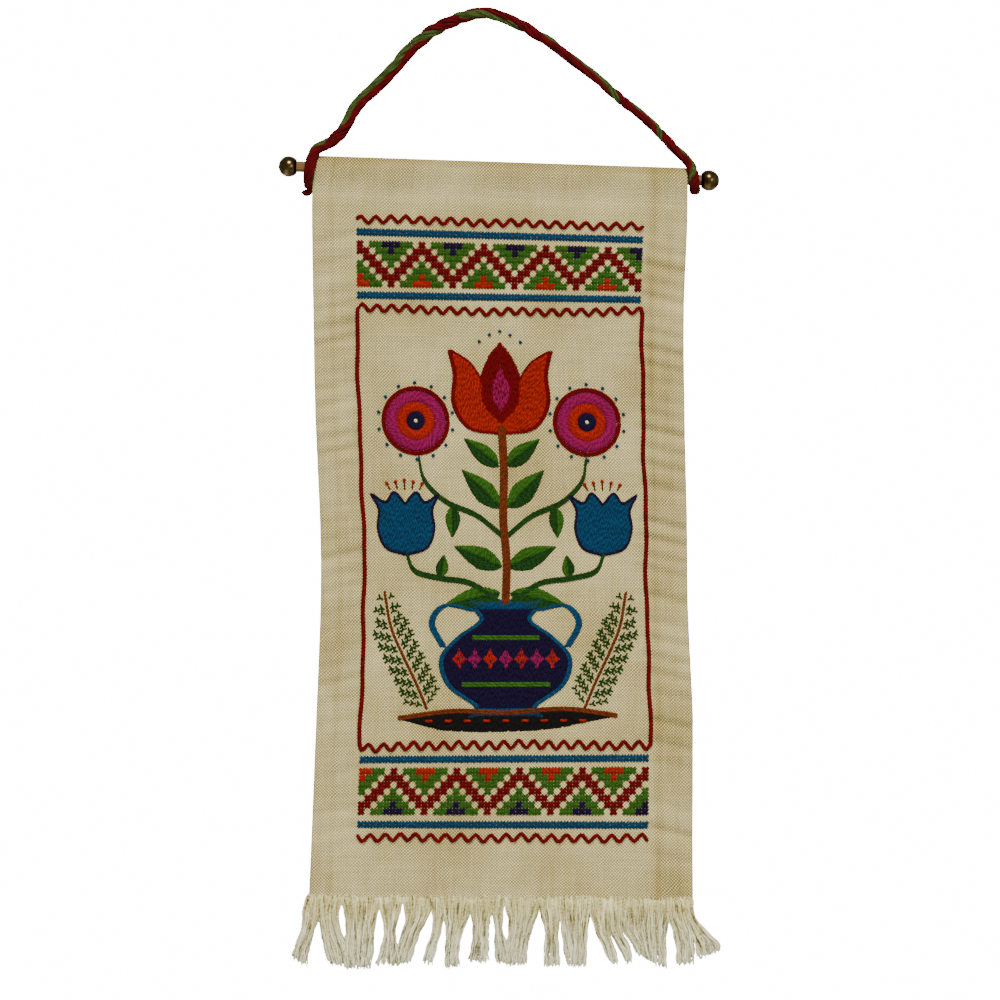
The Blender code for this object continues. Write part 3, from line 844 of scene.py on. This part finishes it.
def build_tail(red):
    """The cut end of the tied cord: red yarns that come out under the loop and spread."""
    points = curve_through(TAIL_ROUTE, TAIL_STEP)[0]
    frames = carried_frames(points, 0, (-1.0, 0.0, 0.0))
    share = np.linspace(0, 1, len(points))
    threads = Threads()
    for yarn in range(TAIL_YARNS + 1):
        inner = yarn == TAIL_YARNS
        around = turned(TURN * (yarn / TAIL_YARNS + share * 0.35), *frames)
        spread = (0.0 if inner else TAIL_SPREAD * MM) * (0.85 + 0.3 * share)
        short = len(points) - (0 if inner else chance.randint(0, 2))
        threads.add((points + around * spread[:, None])[:short], TAIL_YARN_RADIUS * MM)
    tail = threads.build("cord_tail_yarns", (red,), "cord_wool")
    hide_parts("cord_tail_left")
    return tail


def cloth_rows():
    """Each row of the sheet: its place down, and whether it lies behind the rod."""
    panel = np.linspace(CLOTH_LENGTH, POCKET_HEIGHT, PANEL_ROWS)[:-1]
    pocket = POCKET_HEIGHT * (1 - np.cos(np.pi * np.arange(POCKET_ROWS, 0, -1) / POCKET_ROWS)) / 2
    flap = (POCKET_HEIGHT + FLAP_LENGTH / 2, POCKET_HEIGHT + FLAP_LENGTH)
    front = [(down, False) for down in (*panel, *pocket, 0.0)]
    return front + [(down, True) for down in (*pocket[::-1], *flap)]


def build_cloth(finish):
    """One sheet: both side hems turned to its back, and its top turned over the rod."""
    rows = cloth_rows()
    inset = HEM_FOLD / 2 / CLOTH_WIDTH
    front = np.linspace(inset, 1 - inset, PANEL_COLUMNS)
    left_hem = np.linspace(LEFT_HEM / CLOTH_WIDTH, inset, 8)
    right_hem = np.linspace(1 - inset, 1 - RIGHT_HEM / CLOTH_WIDTH, 11)
    bends = np.radians((36, 72, 108, 144))
    # For each column: share of the width, then depth and reach out in folds, then place across
    columns = (
        stacked(left_hem, 1.0, 0.0, -left_hem * CLOTH_WIDTH),
        stacked(inset, (1 + np.cos(bends)) / 2, -np.sin(bends) / 2, 0.0),
        stacked(front, 0.0, 0.0, front * CLOTH_WIDTH),
        stacked(1 - inset, (1 - np.cos(bends)) / 2, np.sin(bends) / 2, CLOTH_WIDTH),
        stacked(right_hem, 1.0, 0.0, (2 - right_hem) * CLOTH_WIDTH),
    )
    shares, depth, out, flat = np.vstack(columns).T
    outer = []
    for down, behind in rows:
        x, z = cloth_line(shares, down)
        y = back_depth(shares, down) if behind else front_depth(shares, down)
        outer.append(stacked(x, y, z))
    outer = np.array(outer)
    direction = unit(np.gradient(outer, axis=0) * (0.0, 1.0, 1.0))
    inward = stacked(0.0, direction[..., 2], -direction[..., 1])
    points = outer + inward * depth[None, :, None] * HEM_FOLD
    points[..., 0] += out * HEM_FOLD
    reach = np.array([-down if behind else down for down, behind in rows])
    places = stacked(flat, reach[:, None])
    cloth = add_piece("cloth_sheet", grid_mesh("cloth_sheet", points * MM, places, finish))
    thicken = cloth.modifiers.new("Thickness", "SOLIDIFY")
    thicken.thickness = CLOTH_THICKNESS * MM
    thicken.offset = -1.0
    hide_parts("cloth")
    return cloth


def hang_strand(threads, lock, part, short, deep, thick, curl):
    """One loose thread of a lock: its edges pull it in and let it spread again."""
    left, right, long_left, long_right = lock
    long = long_left + (long_right - long_left) * part - short
    fall = np.linspace(0, 1, STRAND_RINGS) * long
    share = fall / long
    scale = LOCK_LEVELS[-1] / max(long_left, long_right)
    rows = list(zip(LOCK_LEVELS, left, right))
    low, high = np.array([[smooth(rows, column, at * scale) for at in fall] for column in (1, 2)])
    joined = 1.0 - ease((fall - LOCK_JOINED) / LOCK_FADE)
    low = low - 0.1 - 0.8 * joined
    high = high + 0.1 + 0.8 * joined
    x = low + np.maximum(high - low, 0.6) * part
    room = 40.0 * share - 0.9 * joined
    x = np.clip(x, LEFT_EDGE[-1] - room, RIGHT_EDGE[-1] + room)
    root = on_cloth(np.clip(x[0] - LEFT_EDGE[-1], 1.0, CLOTH_WIDTH - 1.0), CLOTH_LENGTH, 0.0) / MM
    size, beat, begin = curl
    angle = TURN * (fall / beat + begin)
    x = x + size * np.sin(angle) * share ** 0.5
    y = root[1] + 0.3 + deep * np.minimum(share * 3.0, 1.0) + 0.5 * size * np.cos(angle)
    rise = 0.3 + 2.6 * chance.random() ** 2
    z = root[2] + rise - fall * (long + rise) / long
    radii = thick * (1 - 0.3 * share ** 6) * MM
    threads.add(stacked(x, y, z) * MM, radii, sides=4, start_at=chance.uniform(0.0, 4000.0))


def build_fringe(finish):
    """The cloth's warp threads below its last weft: drawn together in locks, a little frayed."""
    threads = Threads()
    for number, lock in enumerate(LOCKS):
        wide = max(high - low for low, high in zip(lock[0], lock[1]))
        count = max(round(wide / STRAND_SPACING), FEWEST_STRANDS)
        for layer in range(4 if number in THICK_LOCKS else 3):
            for i in range(count):
                part = (i + 0.5 + 0.5 * (layer % 2) + chance.uniform(-0.3, 0.3)) / (count + 0.5)
                part = min(max(part, 0.0), 1.0)
                bundle = math.sin(part * wide * 1.5 + number)
                deep = 1.1 * layer - 1.2 + 1.1 * bundle + chance.uniform(-0.6, 0.6)
                short = chance.uniform(-0.8, 1.0) + 0.7 * math.sin(part * wide * 2.3)
                curl = [chance.uniform(0.2, 0.6), chance.uniform(7.0, 14.0)]
                curl.append(0.13 * bundle + chance.uniform(0, 0.3))
                hang_strand(threads, lock, part, short, deep, chance.uniform(0.46, 0.58), curl)
        for i in range(count // 2):
            curl = (chance.uniform(0.4, 0.9), chance.uniform(6.0, 10.0), chance.random())
            part = min(max(chance.uniform(-0.04, 1.04), -0.03), 1.03)
            short, deep = chance.uniform(-1.6, 2.0), chance.uniform(-1.6, -0.8)
            hang_strand(threads, lock, part, short, deep, STRAY_THICKNESS, curl)
    fringe = threads.build("fringe_strands", (finish,), "fringe_threads")
    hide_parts("fringe")
    return fringe


def ball_profile():
    """From the pole down the outside, round the rolled lip and up the socket, in millimetres."""
    mouth = math.acos(-BALL_MOUTH / BALL_RADIUS)
    arc = [(BALL_RADIUS * math.sin(a), BALL_RADIUS * math.cos(a)) for a in np.linspace(0, mouth, 26)]
    lip = BALL_LIP / 2
    inner = arc[-1][0] - lip
    turns = np.radians((30, 90, 150))
    rolled = [(inner + lip * math.cos(a), -BALL_MOUTH - lip * math.sin(a)) for a in turns]
    socket = [(BALL_SOCKET, -BALL_MOUTH), (BALL_SOCKET, BALL_FLOOR), (0.0, BALL_FLOOR)]
    return np.array(arc + rolled + socket)


def build_ball(name, side, finish):
    profile = ball_profile()
    angles = TURN * np.arange(BALL_SEGMENTS + 1) / BALL_SEGMENTS
    radius, height = profile.T[:, :, None]
    along = side * (BALL_SPACING / 2 + height)
    aside = radius * np.sin(angles) * side
    x = ROD_MIDDLE[0] + along * math.cos(ROD_TILT) + aside * math.sin(ROD_TILT)
    z = ROD_MIDDLE[2] - along * math.sin(ROD_TILT) + aside * math.cos(ROD_TILT)
    points = stacked(x, radius * np.cos(angles), z)
    places = stacked(angles / TURN, running_length(profile)[:, None])
    ball = add_piece(name, grid_mesh(name, points * MM, places, finish))
    ball.modifiers.new("Closed seam", "WELD").merge_threshold = 1e-6
    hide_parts(name.replace("ball", "finial"))


class Needle:
    """Works stitches into the cloth's two faces, one set of yarn tubes for each colour."""

    def __init__(self):
        self.colours = {}

    def threads(self, colour):
        return self.colours.setdefault(colour, Threads())

    def stitch(self, colour, start, end, width=0.95, over=0.0, bow=0.0, behind=False, rings=5, sides=5):
        """A straight stitch: it rises out of the cloth, lies on it and goes back in."""
        start, end = np.asarray(start, float), np.asarray(end, float)
        part = np.linspace(0, 1, rings)
        line = start + (end - start) * part[:, None]
        along = end - start
        long = max(float(np.hypot(*along)), 1e-6)
        line = line + left_of(along) / long * (bow * np.sin(np.pi * part))[:, None]
        flat = 1 - np.abs(2 * part - 1) ** 7
        lift = width * YARN_LIFT * (2 * flat - 1) + over * np.sin(np.pi * part) ** 2
        path = on_cloth(line[:, 0], line[:, 1], lift, behind)
        radii = width / 2 * (0.72 + 0.28 * flat) * MM
        begin = chance.uniform(0.0, 3.0)
        self.threads(colour).add(path, radii, sides=sides, flatness=0.8, start_at=begin)

    def behind(self, colour, start, end, width):
        self.stitch(colour, start, end, width, behind=True, rings=4, sides=4)

    def along(self, colour, path, width=1.2, slant=0.22):
        """Stem stitch: stitches that overlap by half and lean a little across their line."""
        lengths = running_length(path)
        count = max(1, round(lengths[-1] / STEM_ADVANCE))

        def at(reach):
            return np.interp(reach, lengths, path[:, 0]), np.interp(reach, lengths, path[:, 1])

        for i in range(count):
            begin = max(lengths[-1] * i / count - (STEM_REACH - STEM_ADVANCE) / 2, 0.0)
            x, y = at(np.linspace(begin, min(begin + STEM_REACH, lengths[-1]), 6))
            across = unit(stacked(-np.gradient(y), np.gradient(x)))
            part = np.linspace(-1, 1, 6)
            flat = 1 - np.abs(part) ** 5
            lift = width * YARN_LIFT * (2 * flat - 1) + 0.12 * part
            place = on_cloth(x + across[:, 0] * slant * part, y + across[:, 1] * slant * part, lift)
            radii = width / 2 * (0.75 + 0.25 * flat) * MM
            self.threads(colour).add(place, radii, sides=5, flatness=0.85, start_at=chance.uniform(0.0, 3.0))
            if i % 2 == 0:
                self.behind(colour, at(begin), at(min(i + 1, count - 1) * lengths[-1] / count), width * 0.85)

    def rows(self, colour, line, side, width, shifts, step=(1, 0)):
        """Rows of stem stitch beside each other, along a line of the middle design."""
        for shift in shifts:
            self.along(colour, mirrored(line + shift * np.array(step), side), width)

    def cross(self, colour, middle, width, height):
        """A cross stitch of two yarns a leg, and the upright stitches that it leaves behind."""
        middle = np.asarray(middle)
        for turn, over in ((1, 0.0), (-1, 0.5)):
            for offset in (-0.5, 0.5):
                half = np.array((width * CROSS_HALF, turn * height * CROSS_HALF))
                aside = left_of(half) / np.hypot(*half) * offset
                loose = np.array((chance.uniform(-0.1, 0.1), chance.uniform(-0.1, 0.1)))
                start = middle - half + aside + loose
                self.stitch(colour, start, middle + half + aside - loose, CROSS_YARN, over=over)
        for side in (-0.42, 0.42):
            x = middle[0] + side * width
            foot = (x + chance.uniform(-0.2, 0.2), middle[1] + height * 0.45)
            self.behind(colour, (x, middle[1] - height * 0.45), foot, 1.0)

    def satin(self, colour, outline, angle=90.0, width=1.02):
        """Fills an outline with rows of long and short stitches at an angle in degrees."""
        ahead = heading(math.radians(angle))
        side = left_of(ahead)
        outline = np.asarray(outline, float)
        level, reach = outline @ side, outline @ ahead
        offset = level.min() + SATIN_SPACING / 2
        row = 0
        while offset < level.max():
            hits = []
            for i in range(len(outline)):
                low, high = level[i - 1], level[i]
                if (low <= offset) != (high <= offset):
                    share = (offset - low) / (high - low)
                    hits.append(reach[i - 1] + (reach[i] - reach[i - 1]) * share)
            hits.sort()
            for begin, end in zip(hits[::2], hits[1::2]):
                for start, stop in self.satin_cuts(begin, end, row):
                    drift = chance.uniform(-0.08, 0.08)
                    before = 0.1 if start == begin else 1.1
                    first = ahead * (start - before) + side * (offset + drift)
                    last = ahead * (stop + 0.12) + side * (offset - drift)
                    self.stitch(colour, first, last, width)
                    self.behind(colour, first, last, width)
            offset += SATIN_SPACING
            row += 1

    def satin_cuts(self, begin, end, row):
        """Where the stitches of one row start and stop; rows side by side are cut apart."""
        long = end - begin
        if long < 0.5:
            return []
        count = max(1, math.ceil(long / SATIN_LONGEST))
        shift = 0.0 if count == 1 else 0.25 + 0.5 * (row % 2)
        cuts = [begin]
        for i in range(1, count + (1 if shift else 0)):
            cuts.append(begin + long * (i - shift + chance.uniform(-0.25, 0.25)) / count)
        cuts.append(end)
        return [pair for pair in zip(cuts, cuts[1:]) if pair[1] - pair[0] > 0.4]

    def wheel(self, colour, middle, inner, outer):
        """Satin stitches that run out from a middle, as in a round flower."""
        count = max(5, round(TURN * outer / WHEEL_SPACING))
        for i in range(count):
            out = heading(TURN * (i + 0.5) / count)
            start = middle + out * (inner + (outer - inner) * (0.05 if i % 2 else 0.0))
            stop = middle + out * (outer + chance.uniform(-0.15, 0.15))
            self.stitch(colour, start, stop, 0.98, over=0.1)
            self.behind(colour, start, stop, 0.98)

    def knot(self, colour, middle, size):
        """A French knot: yarn wound in a small ring that stands on the cloth."""
        angle = np.linspace(0, 2 * TURN, 19)
        spread = size / 2 * (0.62 - 0.28 * angle / angle[-1])
        x = middle[0] + spread * np.cos(angle)
        y = middle[1] + spread * np.sin(angle)
        self.threads(colour).add(on_cloth(x, y, 0.35 + 0.75 * angle / angle[-1]), KNOT_YARN * MM, sides=5)

    def fly(self, colour, tip, turn, size, width):
        """A fly stitch: a small V with a tail, as for a sprig of needles."""
        ahead = heading(turn)
        side = left_of(ahead)
        root = tip - ahead * size * 0.5
        for hand in (-1, 1):
            arm = tip + ahead * size * 0.55 + side * size * 0.55 * hand
            self.stitch(colour, arm, tip, width, bow=0.15 * hand)
        self.stitch(colour, tip, root, width, over=0.2)
        self.behind(colour, tip - side * size * 0.4, root + side * size * 0.4, width)


def chart_colour(row, column):
    """The traditional chevron band: its colour at a row from the top and a column."""
    past = (column - REPEAT // 2) % REPEAT
    from_foot = min(past, REPEAT - past)
    from_peak = REPEAT // 2 - from_foot
    if row in (5 - from_foot, 6 - from_foot):
        return "dark_red"
    for depth, offset, heart in ((row, from_foot, "navy"), (6 - row, from_peak, "orange_red")):
        if depth <= 1 and offset <= 1 - depth:
            return heart
        if depth <= 3 and offset <= 3 - depth:
            return "green"
    return None


def work_band(needle, first_row, row_step, upside_down):
    for row in range(BAND_ROWS):
        for column in range(BAND_COLUMNS):
            colour = chart_colour(BAND_ROWS - 1 - row if upside_down else row, column)
            if colour:
                middle = (BAND_LEFT + BAND_PITCH * (column + 0.5), first_row + row_step * row)
                needle.cross(colour, middle, BAND_PITCH, row_step)


def zigzag(left, right, down, periods, lead, rise=1.0, bow=0.0):
    """A wavy line with rounded peaks. At a lead of 0 it starts low, at 0.5 high."""
    share = np.linspace(0, 1, round(periods * 16) + 1)
    phase = share * periods + lead
    sway = 2 * np.abs(2 * (phase - np.floor(phase + 0.5))) - 1
    sway = 0.45 * sway + 0.55 * -np.cos(TURN * phase)
    wander = 0.25 * np.sin(share * 31.0) + 0.2 * np.sin(share * 17.0 + 1.0)
    middle = down + bow * np.sin(math.pi * share) + wander
    return stacked(left + (right - left) * share, middle - ZIGZAG_RISE * rise * sway)


def work_frame(needle):
    """The red frame: zigzags above and below that run into wandering upright lines."""
    left, right = FRAME_LEFT + 1.5, FRAME_RIGHT - 1.5
    top = zigzag(left, right, FRAME_TOP, 19.2, 0.3, bow=1.7)
    foot = zigzag(left, right, FRAME_BOTTOM, 19, 0.1, rise=1.2, bow=-1.2)
    for line in (top, foot):
        needle.along("dark_red", line, ZIGZAG_YARN)
    down = np.linspace(FRAME_TOP + 1.0, FRAME_BOTTOM - 1.0, 90)
    for place, lead, end in ((FRAME_LEFT, 0.0, 0), (FRAME_RIGHT, 2.0, -1)):
        wander = 0.35 * np.sin(down / 11.0 + lead) + 0.25 * np.sin(down / 5.3 + 2 * lead)
        upright = stacked(place + wander, down)
        needle.along("dark_red", np.vstack((top[end], upright, foot[end])), 2.3, slant=0.4)


def mirrored(points, side=1):
    """Places of the middle design, about its own upright line, on one side or the other."""
    points = np.atleast_2d(np.asarray(points, float))
    return stacked((FRAME_LEFT + FRAME_RIGHT) / 2 + side * points[:, 0], points[:, 1])


def bend_through(points, count=24):
    """A smooth line through a few places."""
    rows = [(float(i), *point) for i, point in enumerate(points)]
    wanted = np.linspace(0, len(points) - 1, count)
    return np.array([[smooth(rows, 1, w), smooth(rows, 2, w)] for w in wanted])


def work_leaf(needle, root, tip, width, side):
    """A pointed leaf of two greens, worked out from its rib in slanting stitches."""
    ahead = np.subtract(tip, root).astype(float)
    across = left_of(ahead) / np.hypot(*ahead)
    part = np.linspace(0, 1, 12)[:, None]
    half = across * (width / 2 * np.sin(np.pi * part ** 0.8))
    lean = math.degrees(math.atan2(ahead[1], ahead[0]))
    rib = np.linspace(root, tip, 12)
    for colour, hand in (("dark_green", 1), ("green", -1)):
        edge = root + ahead * part + half * hand
        slant = lean + 42 * hand
        shape = mirrored(np.vstack((rib, edge[::-1])), side)
        needle.satin(colour, shape, 180 - slant if side < 0 else slant)
    needle.along("dark_green", mirrored(rib, side), 0.8)


def work_flower_vase(needle):
    """A generic folk bouquet: a vase, stems, a tulip, wheels, bells, leaves and sprigs."""
    ground = bend_through([(-62, 321), (-30, 317), (0, 318), (34, 316), (64, 320)])
    under = bend_through([(64, 320), (30, 327), (0, 329), (-36, 328), (-62, 321)])
    needle.satin("black", mirrored(np.vstack((ground, under))))
    needle.rows("brown", ground, 1, 1.5, (-0.8, 0.5), (0, 1))
    for i in range(-4, 5):
        ends = mirrored([(i * 11.0 - 2.5, 322.5), (i * 11.0 + 2.5, 322.5)])
        needle.stitch("orange_red", *ends, 1.6, over=0.9)
    work_vase(needle)
    trunk = bend_through([(0, 256), (0.8, 232), (-0.8, 206), (0.6, 178), (0, 152)], 40)
    needle.rows("brown", trunk, 1, 1.4, (-1.6, -0.5, 0.6, 1.7))
    work_tulip(needle)
    upper = bend_through([(1, 216), (16, 204), (34, 196), (46, 184), (49, 171)])
    lower = bend_through([(3, 254), (20, 243), (38, 240), (53, 236), (58, 226)])
    for side in (-1, 1):
        for shift in (-0.6, 0.5, 1.5):
            for stem in (upper, lower):
                needle.rows("dark_green", stem, side, 1.2, (shift,), (0, 1))
        work_wheel_flower(needle, mirrored([(50, 150)], side)[0])
        work_bell(needle, 58, 208, side)
        for root, tip, width in LEAVES:
            work_leaf(needle, root, tip, width, side)
        work_sprig(needle, side)


def work_vase(needle):
    """An urn in navy wool with a blue lip and foot and a belt of small diamonds."""
    half = bend_through(
        [(17, 258), (13.5, 265), (27, 275), (36.5, 287), (32, 302), (17, 313), (16, 316)], 30
    )
    needle.satin("navy", np.vstack((mirrored(half), mirrored(half, -1)[::-1])))
    lip = [(-21, 252.5), (21, 252.5), (18, 259), (-18, 259)]
    foot = [(-17, 314.5), (17, 314.5), (22, 321), (-22, 321)]
    for shape in (lip, foot):
        needle.satin("blue", mirrored(shape))
    handle = bend_through([(18, 259), (35, 256), (43, 266), (36, 280)], 20)
    for side in (-1, 1):
        needle.rows("blue", half, side, 1.5, (0.2, 1.4))
        needle.rows("blue", handle, side, 1.4, (-1.1, 0.1, 1.3))
    for i in range(-3, 4):
        diamond = mirrored([(i * 9.0, 287.0)])[0] + ((-4.2, 0), (0, -6.4), (4.2, 0), (0, 6.4))
        needle.satin("orange_red" if i % 2 else "magenta", diamond, width=1.1)
    for place, half_width in ((274.0, 20.0), (301.0, 26.0)):
        row = stacked(np.linspace(-half_width, half_width, 20), place)
        needle.rows("green", row, 1, 1.5, (0.0, 1.3), (0, 1))


def work_tulip(needle):
    """The large flower at the top, in three petals with a magenta heart and small knots."""
    outer = bend_through([(0, 157), (18, 154), (27, 140), (26, 123), (29, 109)], 16)
    inner = bend_through([(29, 109), (18, 116), (11, 127), (9.5, 140), (0, 151)], 16)
    heart = bend_through([(0, 152), (9.5, 142), (12, 127), (7, 113), (0, 104)], 16)
    for side in (-1, 1):
        needle.satin("orange_red", mirrored(np.vstack((outer, inner)), side), 90 + 18 * side)
        needle.rows("dark_red", outer, side, 1.4, (0.0, 1.1))
        needle.rows("dark_red", inner, side, 1.2, (0.0,))
    needle.satin("dark_red", np.vstack((mirrored(heart), mirrored(heart, -1)[::-1])))
    drop = [(0, 118), (5, 129), (4.6, 138), (0, 145), (-4.6, 138), (-5, 129)]
    needle.satin("magenta", mirrored(drop), width=1.15)
    for place in mirrored([(0, 98), (-6, 100), (6, 100), (-12, 104), (12, 104)]):
        needle.knot("blue", place, 2.2)


def work_wheel_flower(needle, centre):
    """A round flower of worked rings, with a ring of small knots round it."""
    for colour, inner, outer in (("magenta", 10.2, 18.0), ("orange_red", 4.8, 11.6), ("navy", 0.4, 5.8)):
        needle.wheel(colour, centre, inner, outer)
    needle.knot("cream", centre, 2.4)
    turn = np.linspace(0, TURN, 60)
    for reach in (18.2, 19.3):
        ring = stacked(centre[0] + reach * np.cos(turn), centre[1] + reach * np.sin(turn))
        needle.along("dark_red", ring, 1.3)
    for i in range(14):
        needle.knot("blue", centre + 22.0 * heading(TURN * (i + 0.5) / 14), 2.3)


def work_bell(needle, x, y, side):
    """A blue bell with a navy line round it and an orange-red frill."""
    half = bend_through([(0, y + 19), (12, y + 15), (16.5, y + 4), (15.5, y - 7), (20, y - 16)], 16)
    top = bend_through([(20, y - 16), (11.5, y - 11), (6.5, y - 17), (0, y - 10)], 12)
    right = np.vstack((half, top)) + (x, 0)
    left = np.vstack((half, top)) * (-1, 1) + (x, 0)
    needle.satin("blue", mirrored(np.vstack((right, left[::-1])), side))
    for outline in (right, left):
        needle.along("navy", mirrored(outline, side), 1.5)
    for i in range(-2, 3):
        root, tip = mirrored([(x + i * 4.2, y - 18), (x + i * 5.2, y - 24 + abs(i))], side)
        needle.stitch("brown", root, tip, 1.0)
        needle.knot("orange_red", tip, 2.4)


def work_sprig(needle, side):
    """A fern of small green fly stitches that leans out beside the vase."""
    rib = bend_through([(45, 316), (52, 300), (60, 284), (67, 268), (71, 248)], 30)
    needle.along("brown", mirrored(rib, side), 1.5)
    for i in range(1, 19):
        part = i / 19
        at = int(part * 29)
        ahead = rib[min(at + 1, 29)] - rib[at - 1]
        lean = math.atan2(ahead[1], ahead[0])
        reach = 4 if part < 0.7 else (3 if part < 0.85 else 2)
        for turn in (lean - 0.95, lean + 0.95):
            for step in range(1, reach):
                tip = rib[at] + heading(turn) * step * 3.7
                mirror_turn = math.atan2(math.sin(turn), side * math.cos(turn))
                needle.fly("dark_green", mirrored([tip], side)[0], mirror_turn, 3.2, 1.1)


def work_hem_stitches(needle):
    """Small slanting stitches that hold the two hems at the back."""
    place = POCKET_HEIGHT + 12.0
    while place < CLOTH_LENGTH - 4.0:
        for across, lean in ((LEFT_HEM, 1.4), (CLOTH_WIDTH - RIGHT_HEM, -1.4)):
            ends = (across - lean * 0.7, place), (across + lean * 0.9, place + 1.6)
            needle.stitch("cream", *ends, 0.55, over=0.9, behind=True)
        place += HEM_STITCH_SPACING


def build_stitches():
    needle = Needle()
    for down, periods, lead, rise in ((35.4, 19.1, 0.2, 1.0), (390.1, 19.3, 0.6, 1.1)):
        line = zigzag(FRAME_LEFT, BAND_RIGHT, down, periods, lead, rise)
        needle.along("dark_red", line, ZIGZAG_YARN)
    for down in BLUE_ROWS:
        for column in range(BAND_COLUMNS):
            needle.cross("blue", (BAND_LEFT + BAND_PITCH * (column + 0.5), down), BAND_PITCH, 3.9)
    work_band(needle, 49.6, 3.685, upside_down=False)
    work_band(needle, 351.6, 3.89, upside_down=True)
    work_frame(needle)
    work_flower_vase(needle)
    work_hem_stitches(needle)
    made = []
    for colour, threads in needle.colours.items():
        finish = yarn_finish("wool_" + colour, tint(*STITCH_COLOURS[colour]))
        made.append(threads.build("stitches_" + colour, (finish,), "embroidery_wool"))
    return made


def main():
    set_camera()
    green = yarn_finish("cord_green", tint(48, 62, 20), CORD_YARN_TURN, fleck=tint(88, 90, 48))
    red = yarn_finish("cord_red", tint(72, 0, 4), CORD_YARN_TURN, fleck=tint(86, 8, 8))
    cord, cord_path, cord_length = build_cord(green, red)
    tail = build_tail(red)
    add_floor()
    light_scene()
    cloth = build_cloth(cloth_finish())
    fringe = build_fringe(fringe_finish())
    stitches = build_stitches()
    brass = brass_finish()
    build_ball("ball_left", -1, brass)
    build_ball("ball_right", 1, brass)
    rod = next(thing for thing in bpy.data.objects if thing.name == "rod")
    rod.data.materials.clear()
    rod.data.materials.append(wood_finish())


main()
